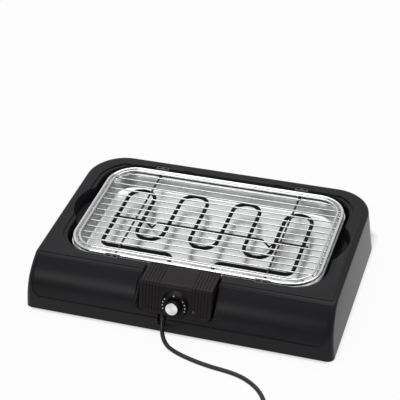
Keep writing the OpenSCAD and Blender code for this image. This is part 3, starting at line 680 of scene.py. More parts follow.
def painted_light_wire(name, tint, roughness, middle, radius):
    """Plating with painted light: bright along the top of level wires, with painted shade underneath."""
    finish = Finish(name, Metallic=1.0)
    cloud = finish.noise(70, 3)
    fine = finish.noise(900, 2)
    height = finish.axes(finish.place)[2]
    # top is a painted-light mask by height: bright plating on the wire's upper side, painted shade on its
    # underside
    top = finish.node(
        "ShaderNodeMath", {"operation": "MULTIPLY", "use_clamp": True},
        {0: (height - middle) / radius - 0.36 + cloud * 0.1, 1: 2.6},
    )
    finish.feed(
        Base_Color=finish.mix(top, shade(tint, 0.3), tint),
        Roughness=cloud * 0.08 + top * -0.1 + (roughness + 0.06),
    )
    return finish.bump(fine, 4e-6).material


def polished_sheet(name, tint, roughness):
    """Drawn steel sheet: bright, slightly wavy, with faint rolling lines and wipe marks."""
    finish = Finish(name, Metallic=1.0)
    wave = finish.noise(9, 1)
    lines = finish.noise(40, 2, (1, 60, 1))
    marks = finish.noise(24, 5)
    finish.feed(
        Base_Color=finish.mix(marks, shade(tint, 0.97), shade(tint, 1.04)),
        Roughness=lines * 0.03 + marks * 0.03 + (roughness - 0.03),
    )
    return finish.bump(wave + lines * 0.0002, 3e-4).material


def oxidised_sheath(name, tint):
    """Dark heat-stained metal."""
    finish = Finish(name, Specular_IOR_Level=0.08)
    stain = finish.noise(55, 5)
    fine = finish.noise(1400, 3)
    finish.feed(
        Base_Color=finish.mix(stain, shade(tint, 0.6), shade(tint, 1.5)), Roughness=stain * 0.25 + 0.34
    )
    return finish.bump(fine, 1.5e-5).material


def coated_steel(name, tint):
    """Black lacquer with a fine orange peel."""
    finish = Finish(name)
    orange_peel = finish.noise(1100, 1)
    cloud = finish.noise(90, 3)
    finish.feed(Base_Color=finish.mix(cloud, tint, shade(tint, 1.4)), Roughness=cloud * 0.14 + 0.32)
    return finish.bump(orange_peel, 1.2e-5).material


def spun_disc(name, tint, centre, tilt):
    """Metal disc with fine marks that run out from its middle, and a painted highlight in two opposite sectors.
    """
    finish = Finish(name, Metallic=0.9)
    local = finish.node(
        "ShaderNodeMapping", {"vector_type": "TEXTURE"},
        {"Vector": finish.place, "Location": centre, "Rotation": (tilt, 0, 0)},
    )
    across, along, _ = finish.axes(local)
    around = finish.math("ARCTAN2", along, across)
    rays = finish.node("ShaderNodeCombineXYZ", {}, {"X": around * 26.0})
    streak = finish.node("ShaderNodeTexNoise", {}, {"Vector": rays, "Scale": 1.0, "Detail": 4.0}, "Fac")
    # painted highlight: two opposite bright sectors round the cap, mixed into its colour beside the real spun
    # streaks
    painted_glint = finish.math("SINE", around * 2.0 + 0.6)
    finish.feed(
        Base_Color=finish.mix(painted_glint * 0.28 + streak * 0.44 + 0.28, shade(tint, 0.62), tint),
        Roughness=streak * 0.16 + 0.2,
    )
    return finish.bump(streak * 1.2e-5 + along * 0.13, 1.0).material


def speckled(name, tint, roughness, metallic=0.0):
    """Small fittings: even colour with a fine break-up."""
    finish = Finish(name, Metallic=metallic)
    cloud = finish.noise(180, 3)
    fine = finish.noise(2200, 2)
    finish.feed(
        Base_Color=finish.mix(cloud, shade(tint, 0.86), shade(tint, 1.08)),
        Roughness=cloud * 0.12 + (roughness - 0.06),
    )
    return finish.bump(fine, 6e-6).material


def lamp_window(name, tint):
    """Clear coated plastic or glass over a small light."""
    finish = Finish(name, Coat_Weight=0.6, Coat_Roughness=0.08)
    cloud = finish.noise(400, 2)
    finish.feed(Base_Color=finish.mix(cloud, tint, shade(tint, 2.2)), Roughness=cloud * 0.1 + 0.12)
    return finish.bump(cloud, 1e-5).material


FINISHES = {}


# --- Outline of the body --------------------------------------------------------------------


class Outline:
    """Where the body's walls stand at each height."""

    LEVELS = (0.003, 0.0045, 0.009, 0.015, 0.021, 0.027, 0.033, 0.039, 0.045, 0.05, 0.055, 0.0595,
              0.0635, 0.067, 0.07, 0.073, 0.0755, 0.078)
    FEW_LEVELS = (0.003, 0.014, 0.026, 0.038, 0.05, 0.0595, 0.067, 0.073)
    EDGE_STEPS = 7

    def __init__(self, sizes):
        self.sizes = sizes
        self.front_top = BODY_LOW.y + sizes.front_lean
        self.back_top = BODY_HIGH.y - sizes.back_lean

    def lean(self, z):
        return min(1, (self.sizes.deck - z) / (self.sizes.deck - TABLE_GAP))

    def half(self, z):
        return HALF_WIDTH - self.sizes.side_lean * (1 - self.lean(z))

    def front(self, z):
        lean = self.lean(min(z, self.sizes.deck))
        bulge = 0.95 * (1 - (1 - lean) ** self.sizes.front_fullness) + 0.05 * lean
        return self.front_top - self.sizes.front_lean * bulge

    def back(self, z):
        return self.back_top + self.sizes.back_lean * self.lean(z)

    def round_edge(self, top, grow):
        """Heights and growths of a rounded upper edge."""
        rounding = self.sizes.edge
        steps = []
        for part in range(1, self.EDGE_STEPS + 1):
            turn = part / self.EDGE_STEPS * QUARTER
            steps.append((top - rounding * (1 - math.sin(turn)), grow - rounding * (1 - math.cos(turn))))
        return steps

    def block(self, name, grow, levels, rounded_top=None):
        """Solid with the body's outline grown by a distance, closed at both ends."""
        sizes = self.sizes
        steps = [(z, grow) for z in levels]
        if rounded_top:
            steps += self.round_edge(rounded_top, grow)
        middle = (self.front_top + self.back_top) / 2
        z, out = steps[0]
        low = (-self.half(z) - out, self.front(z) - out)
        high = (self.half(z) + out, self.back(z) + out)
        piece = flat(name, low, high, z)
        edit(piece)
        for test, radius, segments in (
            (lambda v: v.co.y > middle, sizes.back_corner + out, 18),
            (lambda v: v.co.y < middle, max(sizes.front_corner + out, 0.002), 10),
        ):
            choose(piece, "verts", test)
            bpy.ops.mesh.bevel(offset=radius, segments=segments, affect="VERTICES")
        bpy.ops.mesh.select_all(action="SELECT")
        for next_z, next_out in steps[1:]:
            extrude((0, 0, next_z - z))
            width = self.half(min(z, sizes.deck)) + out
            resize(((self.half(min(next_z, sizes.deck)) + next_out) / width, 1, 1), (0, 0, 0))
            moves = (
                (lambda v: v.co.z > next_z - TINY and v.co.y < middle,
                 self.front(next_z) - next_out - self.front(z) + out),
                (lambda v: v.co.z > next_z - TINY and v.co.y > middle,
                 self.back(next_z) + next_out - self.back(z) - out),
            )
            for test, shift in moves:
                choose(piece, "verts", test)
                bpy.ops.transform.translate(value=(0, shift, 0))
            choose(piece, "faces", lambda f: all(v.co.z > next_z - TINY for v in f.verts))
            z, out = next_z, next_out
        leave()
        return tidy(piece)


def upright_panel(name, half, bottom, top, radius, front, back, segments=10):
    """Block that stands across the body, with round lower corners."""
    middle = (0, back, (bottom + top) / 2)
    piece = begin(name, "plane", size=1, location=middle, rotation=(QUARTER, 0, 0))
    edit(piece)
    resize((2 * half, 1, top - bottom), middle)
    choose(piece, "verts", lambda v: v.co.z < (bottom + top) / 2)
    bpy.ops.mesh.bevel(offset=radius, segments=segments, affect="VERTICES")
    bpy.ops.mesh.select_all(action="SELECT")
    extrude((0, front - back, 0))
    leave()
    return tidy(piece)


def face_place(control, z):
    """Where the control unit's face stands at a height."""
    return HOUSING_FOOT + (z - HOUSING_LOW.z) * math.tan(control.tilt)


def on_face(piece, control, x=0, drop=0):
    """Stands a piece made along +Z on the control unit's face."""
    z = control.knob_height - drop * math.cos(control.tilt)
    return place(piece, (x, face_place(control, z), z), (QUARTER - control.tilt, 0, 0))


# --- Pieces -----------------------------------------------------------------------------------


class GRILL_OT_camera(Operator):
    """Set the camera where the photograph was taken from"""

    bl_idname = "grill.camera"
    bl_label = "Camera"

    def execute(self, context):
        view = context.scene.grill_view
        bpy.ops.object.select_all(action="DESELECT")
        bpy.ops.object.camera_add()
        camera = context.object
        camera.name = "camera"
        camera.data.lens = view.lens
        camera.data.sensor_width = 36
        camera.data.clip_end = 20
        level = math.cos(view.elevation)
        back = Vector(
            (math.sin(view.azimuth) * level, -math.cos(view.azimuth) * level, math.sin(view.elevation))
        )
        right = Vector((math.cos(view.azimuth), math.sin(view.azimuth), 0))
        up = back.cross(right)
        turn = Matrix.Rotation(view.roll, 3, back)
        camera.matrix_world = Matrix((turn @ right, turn @ up, back)).transposed().to_4x4()
        camera.location = Vector(view.target) + back * view.distance
        context.scene.camera = camera
        context.scene.view_settings.view_transform = "Standard"
        return {"FINISHED"}


# The lead's free stretch: from the bend relief down to the table and on to the coil.
RELIEF_TIP = Vector((-0.0200992, -0.16583, 0.0242618))
RELIEF_WAY = Vector((0.118428, -0.671637, -0.731354))
LEAD_ROUTE = [
    (-0.018, -0.176, 0.0135), (-0.0145, -0.184, 0.0075), (-0.0085, -0.1925, 0.004),
    (0.0005, -0.202, 0.0035), (0.013, -0.2095, 0.0035), (0.0275, -0.2155, 0.0035),
    (0.0435, -0.2205, 0.0035), (0.0595, -0.2245, 0.0035), (0.078, -0.228, 0.0035),
    (0.097, -0.2305, 0.0035), (0.115, -0.2335, 0.0035), (0.132, -0.239, 0.0035),
    (0.148, -0.248, 0.0035), (0.162, -0.26, 0.0035), (0.173, -0.275, 0.0035),
    (0.1805, -0.292, 0.0035), (0.185, -0.31, 0.0037), (0.1875, -0.328, 0.0044),
]
LEAD_STRAIGHT = 0.006
COIL_START = Vector((0.188, -0.36, 0.0047))
COIL_TAIL = 0.008
COIL_DIP = 0.0012
COIL_OVER = 0.5  # share of a turn in which the coil climbs to its upper layer


def smooth_path(points, steps):
    """Catmull-Rom curve from the second point to the last but one."""
    path = []
    for before, start, end, after in zip(points, points[1:], points[2:], points[3:]):
        for t in (step / steps for step in range(steps)):
            bent = t * t * (2 * before - 5 * start + 4 * end - after)
            turned_back = t ** 3 * (3 * start - before - 3 * end + after)
            path.append(0.5 * (2 * start + t * (end - before) + bent + turned_back))
    return path + [points[-2]]


def coil_turns(sizes):
    return 2 * sizes.layer_turns + COIL_OVER


def coil_point(sizes, turn):
    """Point of the two-layer coil: in along the lower layer, over, and out along the upper one."""
    outside = sizes.coil_radius + sizes.layer_turns * sizes.coil_pitch
    over = min(max((turn - sizes.layer_turns) / COIL_OVER, 0), 1)
    layer = max(abs(turn - coil_turns(sizes) / 2) - COIL_OVER / 2, 0)
    radius = sizes.coil_radius + layer * sizes.coil_pitch - COIL_DIP * math.sin(math.pi * over)
    around = -ALL_ROUND * turn
    rise = sizes.coil_pitch * over * over * (3 - 2 * over)
    centre = COIL_START - Vector((outside, 0, 0))
    return centre + Vector((radius * math.cos(around), radius * math.sin(around), rise))


def coil_end(sizes):
    return coil_point(sizes, coil_turns(sizes))


def rib_gap(z, outer, depth, slant, width, step=0.0):
    """Profile of one cut between two ribs, as pairs of height and radius."""
    bed = outer - depth
    return [(z, outer), (z + slant, bed), (z + width - slant, bed), (z + width, outer + step)]


class GRILL_OT_lead(Operator):
    """Lay the mains lead from the control unit to its coil, with relief, tie and plug"""

    bl_idname = "grill.lead"
    bl_label = "Mains Lead"

    def execute(self, context):
        sizes = context.scene.grill_lead
        skin = FINISHES["lead"]
        lead = dress(self.flex(sizes), "control", skin, "lead_rubber", "power_cord", "cord_coil")
        dress(self.relief(sizes), "control", skin, "lead_rubber", "strain_relief")
        tie = dress(self.tie(), "control", skin, "lead_rubber", "coil_tie")
        plug = dress(self.plug(sizes), "control", skin, "lead_rubber", "plug_body")
        pins = dress(self.pins(sizes), "control", FINISHES["brass"], "pin_brass", "plug_pins")
        return {"FINISHED"}

    def flex(self, sizes):
        """Round sheath along the free stretch and through the coil."""
        start = COIL_START + Vector((0, COIL_TAIL, 0))
        out = LEAD_STRAIGHT * RELIEF_WAY
        route = [RELIEF_TIP - out, RELIEF_TIP, RELIEF_TIP + out]
        route += [Vector(point) for point in LEAD_ROUTE]
        route += [start + Vector((0, LEAD_STRAIGHT, 0)), start + Vector((0, HAIR, 0)), COIL_START]
        steps = round(coil_turns(sizes) * 40)
        path = smooth_path(route, 5)[:-1] + [start]
        path += [coil_point(sizes, coil_turns(sizes) * step / steps) for step in range(steps + 1)]
        path.append(coil_end(sizes) - Vector((0, COIL_TAIL, 0)))
        curve = bpy.data.curves.new("mains_lead", "CURVE")
        curve.dimensions = "3D"
        curve.bevel_depth = sizes.diameter / 2
        curve.bevel_resolution = 4
        curve.use_fill_caps = True
        spline = curve.splines.new("POLY")
        spline.points.add(len(path) - 1)
        for point, where in zip(spline.points, path):
            point.co = (*where, 1)
        spline.use_smooth = True
        lead = bpy.data.objects.new("mains_lead", curve)
        bpy.context.scene.collection.objects.link(lead)
        return lead

    def relief(self, sizes):
        """Bend relief: collar, root, and a taper cut by rings so that it bends."""
        root, tip, rings = 0.006, 0.0043, 6
        collar, collar_radius = 0.002, 0.0072
        taper = collar + sizes.relief_in
        end = taper + sizes.relief_out
        profile = [(0, collar_radius - 0.0006), (0.0004, collar_radius), (collar, collar_radius),
                   (collar, root), (taper + 0.0008, root)]
        for ring in range(rings):
            z = taper + 0.0012 + ring * (sizes.relief_out - 0.0028) / rings
            outer = root + (tip - root) * (z - taper) / sizes.relief_out
            profile += rib_gap(z, outer, 0.0009, 0.0002, 0.0011)
        profile += [(end - 0.0006, tip), (end, tip - 0.0005)]
        piece = tidy(turned("bend_relief", profile, 40))
        return aim(piece, RELIEF_TIP - (end + HAIR) * RELIEF_WAY, RELIEF_WAY)

    def tie(self):
        """Strap round one side of the coil, with its buckle on top."""
        low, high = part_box("coil_tie")
        strap, buckle_half = 0.0009, 0.004
        middle, half = (low.x + high.x) / 2, (high.x - low.x) / 2
        outer = upright_panel("coil_strap", half, low.z, high.z, 0.003, low.y, high.y, 6)
        inner = upright_panel(
            "strap_inside", half - strap, low.z + strap, high.z - strap, 0.0022,
            low.y - 0.01, high.y + 0.01, 6,
        )
        for piece in (outer, inner):
            place(piece, (middle, 0, 0))
        carve(outer, inner)
        buckle = box_piece(
            "buckle", (middle - buckle_half, low.y - 0.0005, high.z - strap),
            (middle + buckle_half, high.y + 0.0005, high.z + 0.0006),
        )
        carve(outer, buckle, "UNION")
        soften(outer, 0.00025)
        return tidy(outer)

    def plug(self, sizes):
        """Round plug: ribbed boot, shoulder and a grip with hollows."""
        start = coil_end(sizes) - Vector((0, COIL_TAIL + HAIR, 0))
        radius, lead, long = sizes.plug / 2, sizes.diameter / 2, sizes.plug_length
        profile = [(0, lead + 0.0001), (0.0004, lead + 0.0006)]
        for rib in range(5):
            z = 0.003 + rib * 0.0036
            profile += rib_gap(z, lead + 0.0006 + 0.0028 * z / sizes.boot, 0.0008, 0.0003, 0.0016, 0.0001)
        profile += [(sizes.boot + 0.002, lead + 0.0036)]
        boot = aim(turned("plug_boot", profile, 36), start, (0, -1, 0))
        shoulder = [(0, 0.0105), (0.0006, 0.0118), (0.004, 0.0152), (0.0072, 0.0176), (0.0092, radius)]
        grip = [(0.022, radius), (0.0226, radius - 0.0008), (0.0234, radius - 0.0008), (0.024, radius)]
        face = [(long - 0.0012, radius), (long - 0.0004, radius - 0.0005), (long, radius - 0.0014)]
        back = Vector((start.x, start.y - sizes.boot, radius))
        body = aim(turned("plug_shell", shoulder + grip + face, 64), back, (0, -1, 0))
        carve(body, boot, "UNION")
        for side in SIDES:
            hollow = begin(
                "grip_hollow", "uv_sphere", segments=32, ring_count=16, radius=0.02,
                location=back + Vector((side * (radius + 0.0175), -0.014, 0)),
            )
            carve(body, hollow)
        return tidy(body, 40)

    def pins(self, sizes):
        """Two round pins with domed tips."""
        low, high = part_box("plug_pins")
        radius, long = sizes.pin, high.y - low.y
        profile = [(0, radius), (long - 0.0018, radius), (long - 0.0009, radius * 0.85),
                   (long - 0.0002, radius * 0.5), (long, radius * 0.2)]
        pins = [
            aim(turned("plug_pin", profile, 32), (x, high.y, sizes.plug / 2), (0, -1, 0))
            for x in (low.x + radius, high.x - radius)
        ]
        return tidy(join("plug_contacts", pins))


class GRILL_OT_body(Operator):
    """Mould the body: walls, raised deck, front panel, tub, finger recesses and notch"""

    bl_idname = "grill.body"
    bl_label = "Body"

    RING_STEP = 0.001  # how far apart the notch's rings are drawn before they get their places

    def execute(self, context):
        sizes = context.scene.grill_body
        outline = Outline(sizes)
        body = self.skin(sizes, outline)
        self.inside(sizes, outline, body)
        self.openings(sizes, outline, body)
        self.small_cuts(context.scene, body)
        tidy(body, 28)
        dress(body, "base", FINISHES["body"], "body_plastic", "base_shell")
        return {"FINISHED"}

    def skin(self, sizes, outline):
        """Outer shape with its raised deck and its sunk front panel."""
        round_from = sizes.deck - sizes.edge
        levels = [z for z in outline.LEVELS if z < round_from - TINY] + [round_from]
        body = outline.block("grill_body", 0, levels, sizes.deck)
        raised = outline.block("raised_deck", sizes.rise, levels, sizes.deck + sizes.rise)
        half = outline.half(sizes.deck) - sizes.border
        carve(raised, self.deck_field(sizes, outline, half), "INTERSECT")
        soften(raised, 0.0007, 3, 50)
        carve(body, raised, "UNION")
        panel = upright_panel(
            "front_panel", half - 0.001, sizes.panel_foot, sizes.deck + 0.02, 0.014,
            BODY_LOW.y - 0.02, outline.front_top - 0.0005, 14,
        )
        carve(panel, outline.block("panel_bed", -sizes.panel_depth, levels + [sizes.deck + 0.03]))
        soften(panel, 0.0014, 4, 50)
        carve(body, panel)
        return body

    def deck_field(self, sizes, outline, half):
        """Block over the part of the deck that is raised, inside the border."""
        front, back = outline.front_top + 0.0024, outline.back_top - sizes.border
        field = flat("deck_field", (-half, front), (half, back), sizes.deck - 0.008)
        edit(field)
        choose(field, "verts", lambda v: v.co.y > 0)
        bpy.ops.mesh.bevel(offset=sizes.back_corner - sizes.border, segments=18, affect="VERTICES")
        choose(field, "verts", lambda v: v.co.y < 0)
        bpy.ops.mesh.bevel(offset=0.004, segments=6, affect="VERTICES")
        bpy.ops.mesh.select_all(action="SELECT")
        extrude((0, 0, 0.02))
        leave()
        return tidy(field)

    def inside(self, sizes, outline, body):
        """Hollows the moulding, then adds the tub, cups, notch walls, foot posts and tray pads."""
        wall = sizes.wall
        hollow = outline.block(
            "hollow", -wall, [*outline.FEW_LEVELS, sizes.deck - wall - sizes.edge], sizes.deck - wall
        )
        carve(hollow, outline.block("skirt_gap", -wall, [0.001, 0.003]), "UNION")
        carve(body, hollow)
        walls = self.tub(sizes)
        self.notch_walls(sizes, outline, walls)
        post, height = FOOT_RADIUS - 0.0005, 0.038
        for x, y in FOOT_PLACES:
            middle = (x, y, TABLE_GAP + 0.001 + height / 2)
            stem = begin("post", "cylinder", vertices=40, radius=post, depth=height, location=middle)
            carve(walls, stem, "UNION")
        limit = outline.block("limit", -wall / 2, [*outline.FEW_LEVELS, sizes.deck - wall / 2])
        carve(walls, limit, "INTERSECT")
        carve(body, walls, "UNION")
        pad_top = TRAY_LOW.z - HAIR
        height = pad_top - sizes.tub_floor - wall / 2
        for x in (-0.8 * OPENING_HALF, 0.8 * OPENING_HALF):
            for y in (-0.35, 0.35):
                middle = (x, RACK_MIDDLE + y * (RACK_HIGH.y - RACK_LOW.y), pad_top - height / 2)
                pad = begin(
                    "pad", "cylinder", vertices=32, radius=sizes.pad_radius, depth=height, location=middle
                )
                carve(body, pad, "UNION")

    def tub(self, sizes):
        """Walls and floor of the tub, with the cups under the finger recesses."""
        half, front, back, wall = OPENING_HALF, OPENING_FRONT, OPENING_BACK, sizes.wall
        walls = rounded_block(
            "inner_walls", (-half - wall, front - wall), (half + wall, back + wall),
            sizes.opening_corner + wall, sizes.tub_floor, sizes.deck - 0.001,
        )
        room = rounded_block(
            "tub_room", (-half, front), (half, back), sizes.opening_corner,
            sizes.tub_floor + wall, sizes.deck + 0.01,
        )
        carve(walls, room)
        height = sizes.recess_depth + 0.03
        for side in SIDES:
            middle = (side * self.recess_middle(sizes), RACK_MIDDLE,
                      sizes.deck - sizes.recess_depth - wall + height / 2)
            reach = sizes.recess_radius + wall
            cup = begin("cup", "cylinder", vertices=96, radius=reach, depth=height, location=middle)
            carve(walls, cup, "UNION")
        return walls

    def notch_walls(self, sizes, outline, walls):
        """Walls round the control unit's notch, and the thick cheeks at the front face."""
        wall, half = sizes.wall, HOUSING_HIGH.x + sizes.notch_clear
        notch = upright_panel(
            "notch_walls", half + wall, NOTCH_FLOOR - wall, sizes.deck + 0.02,
            sizes.notch_corner + wall, BODY_LOW.y - 0.02, OPENING_FRONT + 0.0045,
        )
        carve(walls, notch, "UNION")
        deep = sizes.notch_round + wall
        cheeks = upright_panel(
            "notch_cheeks", half + deep, NOTCH_FLOOR - deep, sizes.deck + 0.021,
            sizes.notch_corner + deep, BODY_LOW.y - 0.021, OPENING_FRONT - wall / 3,
        )
        room = outline.block(
            "cheek_room", -1.6 * sizes.notch_round - wall, [*outline.FEW_LEVELS, sizes.deck + 0.03]
        )
        carve(cheeks, room)
        carve(walls, cheeks, "UNION")

    def recess_middle(self, sizes):
        return OPENING_HALF + sizes.recess_reach - sizes.recess_radius

    def openings(self, sizes, outline, body):
        """Cuts the deck opening with its lip, the finger recesses and the notch."""
        half, front, back = OPENING_HALF, OPENING_FRONT, OPENING_BACK
        lip_floor, deck, ledge = sizes.deck - sizes.lip_drop, sizes.deck + sizes.rise, sizes.lip_width
        hole = self.flared_hole(
            "deck_opening", (-half, front), (half, back), sizes.opening_corner,
            TRAY_LOW.z - HAIR, lip_floor, 0.0008,
        )
        carve(body, hole)
        lip = self.flared_hole(
            "lip", (-half - ledge, front - ledge), (half + ledge, back + ledge),
            sizes.opening_corner + ledge, lip_floor, deck + SKIM, 0.001,
        )
        carve(lip, box_piece("lip_end", (-0.3, back - 0.0008, 0.05), (0.3, back + 0.05, 0.12)))
        carve(body, lip)
        radius, rim = sizes.recess_radius, sizes.recess_depth + sizes.rise
        profile = [
            (0, radius - 0.003), (0.001, radius - 0.0009), (0.003, radius), (rim - 0.0014, radius),
            (rim - 0.0004, radius + 0.0004), (rim + SKIM, radius + 0.0014),
            (sizes.recess_depth + 0.01, radius + 0.0014),
        ]
        for side in SIDES:
            recess = turned("recess", profile, 128)
            place(recess, (side * self.recess_middle(sizes), RACK_MIDDLE, sizes.deck - sizes.recess_depth))
            carve(body, tidy(recess))
        carve(body, self.notch(sizes, outline))
        for side in SIDES:
            reach = HOUSING_HIGH.x + sizes.notch_clear + 0.001
            near, far = sorted((side * (HOUSING_HIGH.x + 0.0004), side * reach))
            guide = box_piece(
                "guide_rib", (near, OPENING_FRONT - 0.009, NOTCH_FLOOR + sizes.notch_corner),
                (far, OPENING_FRONT - 0.0004, lip_floor - 0.0002),
            )
            soften(guide, 0.0003)
            carve(body, guide, "UNION")

    def flared_hole(self, name, low, high, radius, bottom, top, flare):
        """Cutter for a hole whose upper rim is rounded."""
        piece = rounded_plate(name, low, high, radius, bottom, 18)
        steps = [(bottom, 0), (top - flare, 0), (top - flare * 0.5, flare * 0.13),
                 (top - flare * 0.13, flare * 0.5), (top, flare), (top + 0.012, flare)]
        draw_rings(steps, low, high)
        leave()
        return tidy(piece)

    def notch(self, sizes, outline):
        """Cutter for the control unit's place, flared at the deck and rounded into the front face."""
        half, flare = HOUSING_HIGH.x + sizes.notch_clear, sizes.notch_round
        top = sizes.deck + sizes.rise + SKIM
        bend = top - flare
        cutter = begin("notch", "plane", size=1, location=(0, NOTCH_BACK, 0), rotation=(QUARTER, 0, 0))
        edit(cutter)
        resize((2 * half, 1, bend - NOTCH_FLOOR), (0, 0, 0))
        bpy.ops.transform.translate(value=(0, 0, (bend + NOTCH_FLOOR) / 2))
        choose(cutter, "verts", lambda v: v.co.z < bend - flare)
        bpy.ops.mesh.bevel(offset=sizes.notch_corner, segments=10, affect="VERTICES")
        z, width = bend, half
        for turn in (step / 8 * QUARTER for step in range(1, 9)):
            last, last_width = z, width
            z = bend + flare * math.sin(turn)
            width = half + flare * 0.7 * (1 - math.cos(turn))
            choose(cutter, "edges", lambda e: all(v.co.z > last - TINY for v in e.verts))
            extrude((0, 0, z - last))
            resize((width / last_width, 1, 1), (0, 0, 0))
        extrude((0, 0, 0.02))
        choose(cutter, "faces", lambda f: True)
        rounds = [part / 6 for part in range(1, 7)]
        depths = [flare * 1.6, flare]
        depths += [flare * (1 - math.sin(part * QUARTER)) - 0.0003 * part for part in rounds]
        growths = [0, 0] + [flare * (1 - math.cos(part * QUARTER)) for part in rounds] + [flare]
        self.push_rings(cutter, half, top, growths)
        self.follow_face(cutter, outline, depths)
        return tidy(cutter)

    def push_rings(self, cutter, half, top, growths):
        """Draws one ring for each growth, all upright and at even steps."""
        height, middle, last = top - NOTCH_FLOOR, (NOTCH_FLOOR + top) / 2, 0
        for out in growths:
            extrude((0, -self.RING_STEP, 0))
            wider, taller = (half + out) / (half + last), (height + 2 * out) / (height + 2 * last)
            resize((wider, 1, taller), (0, 0, middle))
            last = out
        leave()

    def follow_face(self, cutter, outline, depths):
        """Lays each ring at its depth under the body's front face, and the last one outside."""
        found = set()
        for vertex in cutter.data.vertices:
            ring = round((NOTCH_BACK - vertex.co.y) / self.RING_STEP)
            found.add(ring)
            if ring > len(depths):
                vertex.co.y = BODY_LOW.y - 0.03
            elif ring:
                vertex.co.y = outline.front(max(vertex.co.z, TABLE_GAP)) + depths[ring - 1]
        if len(found) != len(depths) + 2:
            raise RuntimeError("the notch lost a ring")

    def small_cuts(self, scene, body):
        """Bracket pockets, deck slots, lead slot, dial clearance, foot bores and the switch's nib."""
        sizes, rack, control = scene.grill_body, scene.grill_rack, scene.grill_control
        over, room = sizes.deck + 0.01, 0.0009
        for middle in (side * rack.cross_place for side in SIDES):
            pocket = box_piece(
                "pocket",
                (middle - rack.rest_width / 2 - room, OPENING_BACK - 0.001, sizes.deck - sizes.lip_drop),
                (middle + rack.rest_width / 2 + room, REST_HIGH.y + room, over),
            )
            carve(body, pocket)
        near = OPENING_BACK + 0.0022
        slots = [(-0.079, near, 0), (0.084, near, 0)]
        slots += [(side * (OPENING_HALF - 0.013), near - 0.014, -side * math.radians(42)) for side in SIDES]
        long, wide = sizes.slot_length / 2, sizes.slot_width / 2
        for x, y, turn in slots:
            slot = rounded_block(
                "deck_slot", (-long, -wide), (long, wide), sizes.slot_width * 0.45, sizes.deck - 0.002, over, 4
            )
            carve(body, place(slot, (x, y, 0), (0, 0, turn)))
        cut, slot_z = sizes.lead_slot, 0.0215
        way = upright_panel(
            "lead_way", cut, slot_z - cut, sizes.deck + 0.02, cut * 0.98, BODY_LOW.y - 0.03, -0.146
        )
        carve(body, place(way, (RELIEF_TIP.x - 0.0004, 0, 0)))
        bore = begin("dial_room", "cylinder", vertices=64, radius=control.ring / 2 + 0.0006, depth=0.012)
        carve(body, on_face(bore, control))
        for x, y in FOOT_PLACES:
            bore = begin("foot_bore", "cylinder", vertices=32, radius=0.00305, depth=0.02, location=(x, y, 0))
            carve(body, bore)
        nib = turned("nib", [(0, 0.0026), (0.0044, 0.0025), (0.005, 0.002)], 24)
        middle = (PLUNGER_LOW + PLUNGER_HIGH) / 2
        carve(body, place(nib, (middle.x, middle.y, NOTCH_FLOOR - 0.001)), "UNION")


class GRILL_OT_feet(Operator):
    """Turn the four rubber feet"""

    bl_idname = "grill.feet"
    bl_label = "Feet"

    def execute(self, context):
        radius, stem = FOOT_RADIUS, 0.003
        foot = turned("foot", [
            (0, radius - 0.0016), (0.0004, radius - 0.0006), (0.0011, radius), (0.0036, radius),
            (0.00395, radius - 0.0004), (0.00395, stem), (0.0086, stem), (0.009, stem - 0.0006)], 40)
        feet = copies(foot, [(x, y, 0) for x, y in FOOT_PLACES])
        dress(tidy(join("grill_feet", feet)), "base", FINISHES["rubber"], "foot_rubber", "rubber_feet")
        return {"FINISHED"}


